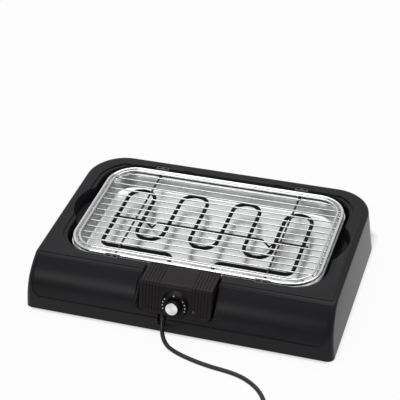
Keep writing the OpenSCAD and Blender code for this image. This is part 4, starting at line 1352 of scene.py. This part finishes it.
class GRILL_OT_tray(Operator):
    """Draw the steel tray from one sheet"""

    bl_idname = "grill.tray"
    bl_label = "Drip Tray"

    def execute(self, context):
        sizes = context.scene.grill_tray
        tray = rounded_plate("steel_tray", TRAY_LOW, TRAY_HIGH, sizes.corner, TRAY_HIGH.z, 18)
        draw_rings(self.levels(sizes), TRAY_LOW, TRAY_HIGH)
        width, depth = (high - low - 2 * sizes.flange for low, high in zip(TRAY_LOW.xy, TRAY_HIGH.xy))
        choose(tray, "faces", lambda f: f.calc_area() > width * depth)
        bpy.ops.mesh.delete(type="ONLY_FACE")
        leave()
        tidy(tray, 60)
        self.turn_up(tray)
        modify(tray, "SOLIDIFY", thickness=sizes.sheet, offset=-1, use_even_offset=True)
        carve(tray, self.gate(sizes))
        carve(tray, self.stamp(sizes), "UNION")
        tidy(tray, 35)
        dress(tray, "tray", FINISHES["tray"], "tray_steel", "drip_tray")
        return {"FINISHED"}

    def levels(self, sizes):
        """Heights and growths of the sheet: flange, bend, sloping wall and round foot."""
        top, floor, bend, foot = TRAY_HIGH.z, TRAY_LOW.z + sizes.sheet, 0.0016, sizes.floor_round
        steps = [(top, 0), (top, bend - sizes.flange)]
        for turn in (math.radians(degrees) for degrees in (22, 45, 67)):
            steps.append((top - bend * (1 - math.cos(turn)), bend - sizes.flange - bend * math.sin(turn)))
        wall_foot = -sizes.flange - sizes.slope
        steps.append((floor + foot, wall_foot + foot * 0.55))
        for turn in (math.radians(degrees) for degrees in (20, 40, 60, 78, 90)):
            steps.append((floor + foot * (1 - math.sin(turn)), wall_foot - foot * (0.45 - math.cos(turn))))
        return steps

    def turn_up(self, tray):
        """Makes the sheet's inner side its upper side, so that its thickness goes down."""
        floor_z = min(v.co.z for v in tray.data.vertices)
        floor = [f for f in tray.data.polygons if abs(f.center.z - floor_z) < TINY]
        if floor[0].normal.z < 0:
            edit(tray)
            bpy.ops.mesh.flip_normals()
            leave()

    def gate(self, sizes):
        """Cutter for the gap in the front wall that the element's cold ends pass."""
        floor = SHEATH_LOW.z - 0.003
        gate = box_piece(
            "gate", (-sizes.gate, TRAY_LOW.y - 0.001, floor),
            (sizes.gate, TRAY_LOW.y + sizes.flange + 0.011, floor + 0.03),
        )
        edit(gate)
        choose(gate, "edges", lambda e: lies_below(e, floor) and runs_back(e))
        bpy.ops.mesh.bevel(offset=0.003, segments=6, affect="EDGES")
        leave()
        return gate

    def stamp(self, sizes):
        """Round mark pressed up from the tray's floor."""
        low, high = sizes.sheet * 1.1, sizes.sheet * 1.35
        stamp = turned("stamp", [(0, 0.0095), (low, 0.0095), (high, 0.0089), (high, 0.0072), (low, 0.0066)], 64)
        return tidy(place(stamp, (*STAMP_PLACE, TRAY_LOW.z + TINY)))


class GRILL_OT_rack(Operator):
    """Bend and weld the wire rack, and hang its brackets"""

    bl_idname = "grill.rack"
    bl_label = "Wire Rack"

    def execute(self, context):
        sizes = context.scene.grill_rack
        chrome = FINISHES["chrome"]
        inset = RACK_HIGH.x - INNER_HIGH.x
        outer = wire_loop("outer_rim", RACK_LOW, RACK_HIGH, sizes.corner, sizes.rim_wire / 2)
        inner = wire_loop("inner_rim", INNER_LOW, INNER_HIGH, sizes.corner - inset, sizes.inner_wire / 2)
        dress(outer, "rack", chrome, "rack_chrome", "rack_outer_rim")
        dress(inner, "rack", chrome, "rack_chrome", "rack_inner_rim")
        dress(self.bars(sizes), "rack", FINISHES["bars"], "rack_chrome", "rack_bars")
        # the cross wires wear the chrome darkened as painted shade
        dress(self.cross_wires(sizes), "rack", FINISHES["dull_wire"], "rack_chrome", "rack_cross_wires")
        dress(self.welds(sizes), "rack", chrome, "rack_chrome")
        dress(self.rests(sizes), "rack", FINISHES["coating"], "rest_steel", "rack_rests")
        return {"FINISHED"}

    def bar_half(self, sizes, y):
        """Half length of a bar that ends on the outer rim's inner side."""
        corner, inside = sizes.corner, sizes.rim_wire + HAIR
        edge = min(y - RACK_LOW.y, RACK_HIGH.y - y) - sizes.bar_wire / 2
        if edge >= corner:
            return RACK_HIGH.x - inside
        return RACK_HIGH.x - corner + math.sqrt((corner - inside) ** 2 - (corner - edge) ** 2)

    def bar_places(self, sizes):
        first = RACK_MIDDLE - (sizes.bar_count - 1) * sizes.bar_pitch / 2
        return [first + count * sizes.bar_pitch for count in range(sizes.bar_count)]

    def round_bar(self, name, start, end, radius):
        """Straight wire with rounded ends."""
        way = Vector(end) - Vector(start)
        cap = [(0, 0.35), (radius * 0.12, 0.68), (radius * 0.45, 0.93), (radius, 1)]
        profile = [(z, radius * part) for z, part in cap]
        profile += [(way.length - z, radius * part) for z, part in reversed(cap)]
        return aim(turned(name, profile, 14), start, way)

    def bars(self, sizes):
        made = []
        for y in self.bar_places(sizes):
            half = self.bar_half(sizes, y)
            left, right = (-half, y, BARS_MIDDLE), (half, y, BARS_MIDDLE)
            made.append(self.round_bar("bar", left, right, sizes.bar_wire / 2))
        return tidy(join("cooking_bars", made), 50)

    def cross_wires(self, sizes):
        z = (CROSS_LOW.z + CROSS_HIGH.z) / 2
        made = [
            self.round_bar("cross", (x, CROSS_LOW.y, z), (x, CROSS_HIGH.y, z), sizes.cross_wire / 2)
            for x in (side * sizes.cross_place for side in SIDES)
        ]
        return tidy(join("cross_wires", made), 50)

    def welds(self, sizes):
        """Small pressed beads where the wires cross."""
        sink = 0.0006
        bead = begin("bead", "ico_sphere", subdivisions=2, radius=0.0014)
        edit(bead)
        resize((1.25, 1.0, 0.75), (0, 0, 0))
        leave()
        inner_x = INNER_HIGH.x - sizes.inner_wire / 2
        beads = []
        for y in self.bar_places(sizes):
            straight = min(y - INNER_LOW.y, INNER_HIGH.y - y) > sizes.corner * 0.8
            for side in SIDES:
                beads.append((side * sizes.cross_place, y, (BARS_MIDDLE + CROSS_HIGH.z) / 2 - sink))
                if straight:
                    beads.append((side * inner_x, y, (BARS_MIDDLE + INNER_LOW.z) / 2 + sink))
        return tidy(join("weld_beads", copies(bead, beads)), 60)

    def rests(self, sizes):
        """Four bent brackets, each with two oval holes in its top plate."""
        sheet, half, top = sizes.rest_sheet, sizes.rest_width / 2, REST_HIGH.z
        back = RACK_HIGH.y + 0.0003
        plate_middle = back + (REST_HIGH.y - OPENING_BACK + 0.0034) / 2
        rest = box_piece("rest", (-half, back, REST_LOW.z), (half, back + sheet, top))
        carve(rest, box_piece("rest_plate", (-half, back, top - sheet), (half, REST_HIGH.y, top)), "UNION")
        edit(rest)
        choose(rest, "edges", lambda e: stands_upright(e) and abs(e.verts[0].co.x) > half - TINY
               and e.verts[0].co.y > back + sheet + TINY)
        bpy.ops.mesh.bevel(offset=0.002, segments=5, affect="EDGES")
        leave()
        long, high = 0.0036, 0.0018
        for x in (-0.0055, 0.0055):
            hole = rounded_block(
                "hole", (x - long, -high), (x + long, high), 0.00178, top - 0.004, top + 0.004, 6
            )
            carve(rest, place(hole, (0, plate_middle, 0)))
        soften(rest, 0.00025, 2, 50)
        tidy(rest, 40)
        made = []
        for side in SIDES:
            made.append(place(copy_of(rest, "rest_back"), (side * sizes.cross_place, 0, 0)))
            front = copy_of(rest, "rest_front")
            edit(front)
            resize((1, -1, 1), (0, RACK_MIDDLE, 0))
            leave()
            made.append(place(front, (side * sizes.cross_place, 0, 0)))
        bpy.data.objects.remove(rest)
        return tidy(join("rack_brackets", made), 40)


class GRILL_OT_element(Operator):
    """Bend the heating element and finish its fittings"""

    bl_idname = "grill.element"
    bl_label = "Heating Element"

    def execute(self, context):
        sizes = context.scene.grill_element
        dress(self.sheath(sizes), "control", FINISHES["sheath"], "element_metal", "element_sheath")
        for node, finish in (("support", "sheath"), ("flange", "coating"), ("terminals", "brass")):
            finish_node("element_" + node, FINISHES[finish])
        return {"FINISHED"}

    def sheath(self, sizes):
        """One tube from the left cold end through four loops to the right one."""
        loop, z = sizes.pitch / 2, SHEATH_MIDDLE
        outer = 7 * loop
        run = RACK_MIDDLE + sizes.run_place
        leg_foot, cold_top = run + sizes.run_bend, run - sizes.cold_bend
        cold, leg = sizes.cold_place + sizes.cold_bend, outer - sizes.run_bend
        trough = RACK_MIDDLE + sizes.trough
        peaks = (sizes.outer_peak, sizes.inner_peak, sizes.inner_peak, sizes.outer_peak)
        pipe = Pipe("heating_element", (-sizes.cold_place, SHEATH_LOW.y, z), (0, 1, 0), sizes.sheath / 2, 20)
        pipe.run(0, cold_top - SHEATH_LOW.y, 0)
        pipe.bend((-cold, cold_top, z), 90, 8)
        pipe.run(cold - leg, 0, 0)
        pipe.bend((-leg, leg_foot, z), -90, 8)
        y = leg_foot
        for count, peak in enumerate(RACK_MIDDLE + part for part in peaks):
            x = -outer + 2 * count * sizes.pitch
            pipe.run(0, peak - y, 0)
            pipe.bend((x + loop, peak, z), -180, 22)
            y = leg_foot
            if count < len(peaks) - 1:
                y = trough
            pipe.run(0, y - peak, 0)
            if count < len(peaks) - 1:
                pipe.bend((x + 3 * loop, trough, z), 180, 22)
        pipe.bend((leg, leg_foot, z), -90, 8)
        pipe.run(cold - leg, 0, 0)
        pipe.bend((cold, cold_top, z), 90, 8)
        pipe.run(0, SHEATH_LOW.y - cold_top, 0)
        return pipe.close()


class GRILL_OT_housing(Operator):
    """Mould the control unit's housing with its grooves and openings"""

    bl_idname = "grill.housing"
    bl_label = "Control Housing"

    def execute(self, context):
        sizes, element = context.scene.grill_control, context.scene.grill_element
        housing = self.block("control_unit", sizes, 0, HOUSING_LOW.z)
        carve(housing, self.block("room", sizes, sizes.wall, HOUSING_LOW.z + sizes.wall))
        carve(housing, self.door(sizes))
        self.posts(sizes, housing)
        self.grooves(sizes, housing)
        for x, drop, radius in (
            (0, 0, sizes.shaft / 2 + 0.0006), (sizes.lens_place, sizes.lens_drop, sizes.lens),
        ):
            bore = begin("bore", "cylinder", vertices=40, radius=radius, depth=0.012)
            carve(housing, on_face(bore, sizes, x, drop))
        for side in SIDES:
            bore = begin(
                "cold_bore", "cylinder", vertices=32, radius=element.sheath / 2 + HAIR, depth=0.02,
                location=(side * element.cold_place, HOUSING_HIGH.y, SHEATH_MIDDLE), rotation=(QUARTER, 0, 0),
            )
            carve(housing, bore)
        tidy(housing, 30)
        dress(housing, "control", FINISHES["housing"], "housing_plastic", "control_housing")
        finish_node("housing_cover", FINISHES["housing"])
        return {"FINISHED"}

    def block(self, name, sizes, inset, bottom):
        """The housing's shape, shrunk by an inset: tilted face, round ridge and lower corners."""
        half = HOUSING_HIGH.x - inset
        top, back = HOUSING_HIGH.z - inset, HOUSING_HIGH.y - inset
        foot = face_place(sizes, bottom) + inset / math.cos(sizes.tilt)
        block = box_piece(name, (-half, foot, bottom), (half, back, top))
        edit(block)
        choose(block, "verts", lambda v: v.co.z > top - TINY and v.co.y < foot + TINY)
        bpy.ops.transform.translate(value=(0, (top - bottom) * math.tan(sizes.tilt), 0))
        choose(block, "edges", lambda e: all(v.co.z > top - TINY and v.co.y < back - 0.01 for v in e.verts))
        ridge = (sizes.ridge - inset) * math.tan((QUARTER - sizes.tilt) / 2)
        bpy.ops.mesh.bevel(offset=ridge, segments=10, affect="EDGES")
        choose(block, "edges", lambda e: lies_below(e, bottom) and runs_back(e))
        bpy.ops.mesh.bevel(offset=sizes.corner - inset, segments=12, affect="EDGES")
        if not inset:
            choose(block, "edges", lambda e: e.is_manifold and e.calc_face_angle() > math.radians(50)
                   and min(v.co.z for v in e.verts) > bottom + 0.002)
            bpy.ops.mesh.bevel(offset=0.0009, segments=3, affect="EDGES")
        leave()
        return tidy(block)

    def door(self, sizes):
        """Cutter for the opening that the cover closes, up to the inside of the tilted face."""
        gap, low, high = 0.00015, HOUSING_LOW.z - 0.002, COVER_HIGH.z + 0.001
        door = box_piece(
            "door", (COVER_LOW.x - gap, COVER_LOW.y, low), (COVER_HIGH.x + gap, COVER_HIGH.y + gap, high)
        )
        edit(door)
        front = face_place(sizes, low) + sizes.wall / math.cos(sizes.tilt)
        choose(door, "verts", lambda v: v.co.y < (COVER_LOW.y + COVER_HIGH.y) / 2)
        bpy.ops.transform.translate(value=(0, front - COVER_LOW.y, 0))
        choose(door, "verts", lambda v: v.co.y < COVER_HIGH.y - TINY and v.co.z > HOUSING_LOW.z)
        bpy.ops.transform.translate(value=(0, (high - low) * math.tan(sizes.tilt), 0))
        leave()
        return door

    def posts(self, sizes, housing):
        """Four screw posts under the roof."""
        roof, foot = HOUSING_HIGH.z - sizes.wall + 0.0005, COVER_HIGH.z + HAIR
        for x, y in SCREW_PLACES:
            post = begin(
                "post", "cylinder", vertices=28, radius=0.0036, depth=roof - foot,
                location=(x, y, (roof + foot) / 2),
            )
            carve(housing, post, "UNION")
            pilot = begin("pilot", "cylinder", vertices=20, radius=0.0014, depth=0.02, location=(x, y, foot))
            carve(housing, pilot)

    def grooves(self, sizes, housing):
        """Two groups of shallow grooves that run over the top and down the face."""
        half, past = sizes.groove_width / 2, 0.003
        foot, front = HOUSING_LOW.z + 0.006, HOUSING_LOW.y - 0.01
        places = [
            side * (sizes.groove_first + count * sizes.groove_pitch)
            for side in SIDES for count in range(sizes.groove_count)
        ]
        comb = join("groove_comb", [
            box_piece("slab", (x - half, front, foot), (x + half, HOUSING_HIGH.y + past, HOUSING_HIGH.z + past))
            for x in places
        ])
        core = self.block("groove_core", sizes, sizes.groove_depth, HOUSING_LOW.z - 0.002)
        edit(core)
        choose(core, "faces", lambda f: f.normal.y > 0.99)
        bpy.ops.transform.translate(value=(0, 0.02, 0))
        leave()
        carve(comb, core)
        carve(housing, comb)


class GRILL_OT_dial(Operator):
    """Turn the dial's ring, the knob, its cap and the lamp's lens"""

    bl_idname = "grill.dial"
    bl_label = "Dial"

    BROW = 0.0028  # how far the ring's foot reaches up past its round
    FACE_LEAN = 0.1  # slope at which the ring's face stands out towards its top
    CAP_DEPTH = 0.0015

    def execute(self, context):
        sizes = context.scene.grill_control
        dress(self.ring(sizes), "control", FINISHES["knob"], "knob_plastic", "dial_ring")
        dress(self.knob(sizes), "knob", FINISHES["knob"], "knob_plastic", "control_knob")
        dress(self.cap(sizes), "knob", FINISHES["cap"], "cap_aluminium", "knob_cap")
        dress(self.lens(sizes), "control", FINISHES["lens"], "lens_red", "indicator_lens")
        dress(self.marks(sizes), "control", FINISHES["marks"], "mark_white", "dial_marks")
        return {"FINISHED"}

    def ring(self, sizes):
        """Raised ring round the knob, with a rounded brow and a well for the knob."""
        foot, high, floor = sizes.ring / 2, sizes.ring_height, 0.002
        top, well, bore = foot - 0.0025, sizes.knob / 2 + 0.001, sizes.shaft / 2 + 0.0006
        ring = turned("dial_surround", [
            (HAIR, foot - 0.0003), (0.0003, foot), (high - 0.0012, top + 0.0006), (high - 0.0005, top + 0.0003),
            (high - 0.0001, top - 0.0003), (high, top - 0.0009), (high, well + 0.0008),
            (high - 0.0002, well + 0.0002), (high - 0.0008, well), (floor, well), (floor, bore),
            (HAIR, bore)], 72)
        edit(ring, "FACE")
        choose(ring, "faces", lambda f: abs(f.normal.z) > 0.99 and len(f.verts) > 40)
        bpy.ops.mesh.delete(type="ONLY_FACE")
        choose_open_edges()
        bpy.ops.mesh.bridge_edge_loops()
        leave()
        tidy(ring)
        for vertex in ring.data.vertices:
            if vertex.co.z < 0.0004 and vertex.co.xy.length > top:
                vertex.co.y += self.BROW * max(vertex.co.y, 0) / foot
            if vertex.co.z > 0.003:
                vertex.co.z += self.FACE_LEAN * vertex.co.y
        return on_face(ring, sizes)

    def marks(self, sizes):
        """Nine printed dots on the ring: the off mark and four to each side."""
        radius = sizes.ring / 2 - 0.0041
        made = []
        for degrees in [0] + [side * (54 + 18 * count) for side in SIDES for count in range(4)]:
            size = 0.0009 if degrees else 0.0011
            dot = turned("dot", [(0, size), (0.0002, size), (0.00028, size * 0.8)], 20)
            turn = math.radians(degrees)
            x, y = -radius * math.sin(turn), radius * math.cos(turn)
            lift = sizes.ring_height + self.FACE_LEAN * y + 2 * HAIR
            made.append(place(dot, (x, y, lift), (math.atan(self.FACE_LEAN), 0, 0)))
        return on_face(tidy(join("dial_dots", made)), sizes)

    def knob(self, sizes):
        """Knob with fine flutes round its side and a hollow for the shaft."""
        foot, radius, top, sides = 0.0026, sizes.knob / 2, sizes.knob_reach - self.CAP_DEPTH, 96
        knob = turned("grill_knob", [
            (foot, radius - 0.0005), (foot + 0.0005, radius), (foot + 0.0036, radius),
            (foot + 0.0042, radius - 0.0003), (top - 0.0007, radius - 0.0009), (top - 0.0002, radius - 0.0012),
            (top, radius - 0.0018)], sides)
        edit(knob, "FACE")

        def flute(face):
            where = face.calc_center_median()
            side = round(math.atan2(where.y, where.x) * sides / ALL_ROUND - 0.5)
            return side % 3 == 0 and foot + 0.004 < where.z < top - 0.0008

        choose(knob, "faces", flute)
        bpy.ops.mesh.inset(thickness=0.00012, use_individual=False)
        resize((0.975, 0.975, 1), (0, 0, 0))
        leave()
        carve(knob, begin("shaft_hole", "cylinder", vertices=32, radius=sizes.shaft / 2 + HAIR, depth=0.0224))
        return on_face(tidy(knob), sizes)

    def cap(self, sizes):
        """Spun disc with a rolled rim and a hollow middle."""
        radius, high = sizes.cap / 2, sizes.knob_reach
        cap = turned("spun_cap", [
            (high - self.CAP_DEPTH + HAIR, radius), (high - 0.0005, radius), (high - 0.0002, radius - 0.0002),
            (high, radius - 0.0007), (high - 0.00012, radius - 0.0016), (high - 0.0001, radius * 0.5),
            (high - 0.00008, radius * 0.1)], 64)
        return on_face(tidy(cap), sizes)

    def lens(self, sizes):
        """Small domed window."""
        radius, dome = sizes.lens - HAIR, 0.0006
        profile = [(-0.003, radius), (0.0004, radius), (dome, radius - 0.0001)]
        for turn in (math.radians(degrees) for degrees in (20, 40, 60, 80)):
            profile.append((dome + dome * math.sin(turn), (radius - 0.0001) * math.cos(turn)))
        return on_face(tidy(turned("lamp_window", profile, 32)), sizes, sizes.lens_place, sizes.lens_drop)


class GRILL_OT_inner_parts(Operator):
    """Finish the thermostat, wiring, switch, screws and spring"""

    bl_idname = "grill.inner_parts"
    bl_label = "Inner Parts"

    def execute(self, context):
        for node, finish in (
            ("thermostat_body", "ceramic"), ("thermostat_shaft", "zinc"), ("neon_lamp", "glass"),
            ("terminal_block", "ceramic"), ("safety_switch", "knob"), ("switch_plunger", "lens"),
            ("internal_wires", "sleeve"),
        ):
            finish_node(node, FINISHES[finish])
        self.spring()
        self.screws()
        return {"FINISHED"}

    def spring(self):
        """Wound spring behind the plunger, made at one length; it does not shorten as the plunger goes in."""
        wire, turns, travel = 0.00018, 7, 0.0015
        middle, long = (SPRING_LOW + SPRING_HIGH) / 2, SPRING_HIGH.z - SPRING_LOW.z
        spring = begin(
            "wound_spring", "circle", vertices=8, radius=wire, fill_type="NOTHING",
            location=((SPRING_HIGH.x - SPRING_LOW.x) / 2 - wire, 0, 0), rotation=(QUARTER, 0, 0),
        )
        modify(spring, "SCREW", angle=ALL_ROUND, screw_offset=(long - 2 * wire) / turns, iterations=turns,
               steps=20, render_steps=20, use_merge_vertices=True)
        edit(spring)
        choose_open_edges()
        bpy.ops.mesh.edge_face_add()
        leave()
        tidy(place(spring, (middle.x, middle.y, SPRING_LOW.z + wire)), 60)
        dress(spring, "control", FINISHES["zinc"], "screw_steel", "plunger_spring")
        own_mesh(spring)

    def screws(self):
        """Four countersunk screws with crossed slots."""
        head, shank, flat_head, long = 0.0029, 0.00135, 0.00085, SCREWS_HIGH.z - SCREWS_LOW.z
        screw = turned("screw", [
            (0, head - 0.0004), (0.00025, head), (flat_head, head), (flat_head, shank),
            (long - 0.0008, shank), (long, shank * 0.4)], 28)
        for x, y in ((0.0017, 0.00035), (0.00035, 0.0017)):
            carve(screw, box_piece("slot", (-x, -y, -0.001), (x, y, 0.0005)))
        screws = tidy(join("cover_screws", copies(screw, [(x, y, SCREWS_LOW.z) for x, y in SCREW_PLACES])))
        dress(screws, "control", FINISHES["zinc"], "screw_steel", "housing_screws")


class GRILL_OT_finishes(Operator):
    """Mix every finish from the colours"""

    bl_idname = "grill.finishes"
    bl_label = "Finishes"

    def execute(self, context):
        tints, control = context.scene.grill_colours, context.scene.grill_control
        z = control.knob_height
        middle = (0, face_place(control, z), z)
        bar_radius = context.scene.grill_rack.bar_wire / 2
        FINISHES.update(
            body=moulded_plastic("satin_black_body", tints.body, 0.3),
            housing=moulded_plastic("satin_black_housing", tints.housing, 0.33),
            knob=moulded_plastic("smooth_black_knob", tints.knob, 0.33, 3200, 8e-6),
            rubber=rubber("foot_rubber", tints.rubber, 0.55),
            lead=rubber("lead_rubber", tints.lead, 0.42),
            tray=polished_sheet("tray_steel", tints.tray, 0.3),
            chrome=plated_wire("rack_chrome", tints.chrome, 0.12),
            # bars carry painted light: bright tops and painted shade underneath
            bars=painted_light_wire("bar_plating", tints.chrome, 0.12, BARS_MIDDLE, bar_radius),
            # cross wires: the rack's chrome darkened to 0.09 of its tint, painted shade for wires that lie
            # under the bars
            dull_wire=plated_wire("cross_wire_plating", shade(tints.chrome, 0.09), 0.35),
            coating=coated_steel("black_coating", tints.coating),
            sheath=oxidised_sheath("dark_sheath", tints.sheath),
            zinc=speckled("zinc_plate", tints.zinc, 0.34, 1.0),
            cap=spun_disc("spun_aluminium", tints.cap, middle, QUARTER - control.tilt),
            brass=speckled("pin_plate", tints.brass, 0.26, 1.0),
            ceramic=speckled("ceramic", tints.ceramic, 0.4),
            marks=speckled("mark_white", tints.marks, 0.5),
            lens=lamp_window("red_lens", tints.lens),
            glass=lamp_window("neon_glass", tints.glass),
            sleeve=speckled("wire_sleeve", tints.sleeve, 0.55),
        )
        return {"FINISHED"}


FLOOR_GLOW = 0.94  # share of plain white that the floor shows away from the grill
WORLD_LIGHT = 0.35
WHITE = (1, 1, 1, 1)
# What metal sees of the studio: brighter towards this direction, from a middle and never under a least.
STUDIO_SLOPE, STUDIO_MIDDLE, STUDIO_LEAST = (-0.3, 0.45, 0.22), 0.26, 0.12
# Name, place, point it faces, width, height and power of each lamp.
LAMPS = (
    ("top_light", (0.1, 0.5, 1.9), (0, 0.05, 0), 2.2, 1.4, 21),
    ("right_light", (2.0, 0.3, 1.0), (0, 0, 0.05), 1.2, 1.2, 3),
    ("front_fill", (-0.9, -2.2, 1.6), (0, 0, 0.05), 1.4, 1.0, 15),
)


class GRILL_OT_stage(Operator):
    """Lay the pale floor and set the soft studio light"""

    bl_idname = "grill.stage"
    bl_label = "Stage"

    def execute(self, context):
        floor = begin("floor", "plane", size=9, location=(0, 0, 0))
        floor.data.materials.append(self.floor_finish(context.scene.grill_colours.floor))
        for lamp in LAMPS:
            self.lamp(*lamp)
        self.world(context)
        return {"FINISHED"}

    def floor_finish(self, tint):
        """Pale matt floor, white where it is seen clear of the grill's underside."""
        finish = Finish("pale_floor", Roughness=0.9, Specular_IOR_Level=0.0)
        finish.feed(Base_Color=finish.mix(finish.noise(3, 2), shade(tint, 0.99), tint))
        tuck, blur = 0.012, 0.016
        middle = (BODY_LOW.y + BODY_HIGH.y) / 2
        x, y, _ = finish.axes(finish.place)
        past_side = finish.math("ABSOLUTE", x) - (BODY_HIGH.x - tuck)
        past_back = finish.math("ABSOLUTE", y - middle) - (BODY_HIGH.y - middle - tuck)
        away = finish.math("MAXIMUM", past_side, 0.0) + finish.math("MAXIMUM", past_back, 0.0)
        clear = finish.math("SMOOTH_MIN", away / blur, 1.0, 0.2)
        seen = finish.seen_by("Is Camera Ray", "Is Glossy Ray", "Is Transmission Ray")
        glow = finish.node("ShaderNodeEmission", {}, {"Color": WHITE, "Strength": 1.0})
        matt = Value(finish, finish.shader.outputs[0])
        shown = finish.node("ShaderNodeMixShader", {}, {0: clear * FLOOR_GLOW * seen, 1: matt, 2: glow})
        finish.tree.links.new(shown.socket, finish.tree.nodes["Material Output"].inputs["Surface"])
        return finish.material

    def lamp(self, name, place_at, look_at, width, height, watts):
        data = bpy.data.lights.new(name, "AREA")
        data.shape = "RECTANGLE"
        data.size, data.size_y = width, height
        data.energy = watts
        lamp = bpy.data.objects.new(name, data)
        bpy.context.scene.collection.objects.link(lamp)
        lamp.location = place_at
        lamp.rotation_euler = (Vector(place_at) - Vector(look_at)).to_track_quat("Z", "Y").to_euler()

    def world(self, context):
        """White behind the grill and above it, dim in front, as a studio with one backdrop."""
        world = bpy.data.worlds.new("studio")
        context.scene.world = world
        world.use_nodes = True
        studio = Nodes(world.node_tree)
        studio.tree.nodes.clear()
        way = studio.node("ShaderNodeTexCoord", {}, {}, "Generated")
        facing = studio.node(
            "ShaderNodeVectorMath", {"operation": "DOT_PRODUCT"}, {0: way, 1: STUDIO_SLOPE}, "Value"
        )
        gleam = studio.node("ShaderNodeClamp", {}, {"Value": facing + STUDIO_MIDDLE, "Min": STUDIO_LEAST})
        shown, mirrored, plain = (
            studio.node("ShaderNodeBackground", {}, {"Color": colour, "Strength": strength})
            for colour, strength in ((WHITE, WORLD_LIGHT), (gleam, 1.0), (WHITE, 1.0))
        )
        for ground, *kinds in (
            (mirrored, "Is Glossy Ray"), (plain, "Is Camera Ray", "Is Transmission Ray"),
        ):
            seen = studio.seen_by(*kinds)
            shown = studio.node("ShaderNodeMixShader", {}, {0: seen, 1: shown, 2: ground})
        studio.node("ShaderNodeOutputWorld", {}, {"Surface": shown})


class GRILL_PT_panel(Panel):
    """Lists the grill's pieces in the order they are made"""

    bl_idname = "GRILL_PT_panel"
    bl_label = "Tabletop Grill"
    bl_space_type = "VIEW_3D"
    bl_region_type = "UI"
    bl_category = "Grill"

    def draw(self, context):
        for step in STEPS:
            self.layout.operator(step.bl_idname)


GROUPS = {
    "grill_body": GrillBodySizes, "grill_rack": GrillRackSizes, "grill_tray": GrillTraySizes,
    "grill_element": GrillElementSizes, "grill_control": GrillControlSizes, "grill_lead": GrillLeadSizes,
    "grill_view": GrillView, "grill_colours": GrillColours,
}
STEPS = (
    GRILL_OT_camera, GRILL_OT_finishes, GRILL_OT_lead, GRILL_OT_body, GRILL_OT_feet, GRILL_OT_tray,
    GRILL_OT_rack, GRILL_OT_element, GRILL_OT_housing, GRILL_OT_dial, GRILL_OT_inner_parts, GRILL_OT_stage,
)


def register():
    for group in GROUPS.values():
        bpy.utils.register_class(group)
    for name, group in GROUPS.items():
        setattr(bpy.types.Scene, name, PointerProperty(type=group))
    for step in STEPS:
        bpy.utils.register_class(step)
    bpy.utils.register_class(GRILL_PT_panel)


def unregister():
    bpy.utils.unregister_class(GRILL_PT_panel)
    for step in reversed(STEPS):
        bpy.utils.unregister_class(step)
    for name in GROUPS:
        delattr(bpy.types.Scene, name)
    for group in GROUPS.values():
        bpy.utils.unregister_class(group)


def main():
    register()
    for step in STEPS:
        group, name = step.bl_idname.split(".")
        getattr(getattr(bpy.ops, group), name)()


if __name__ == "__main__":
    main()
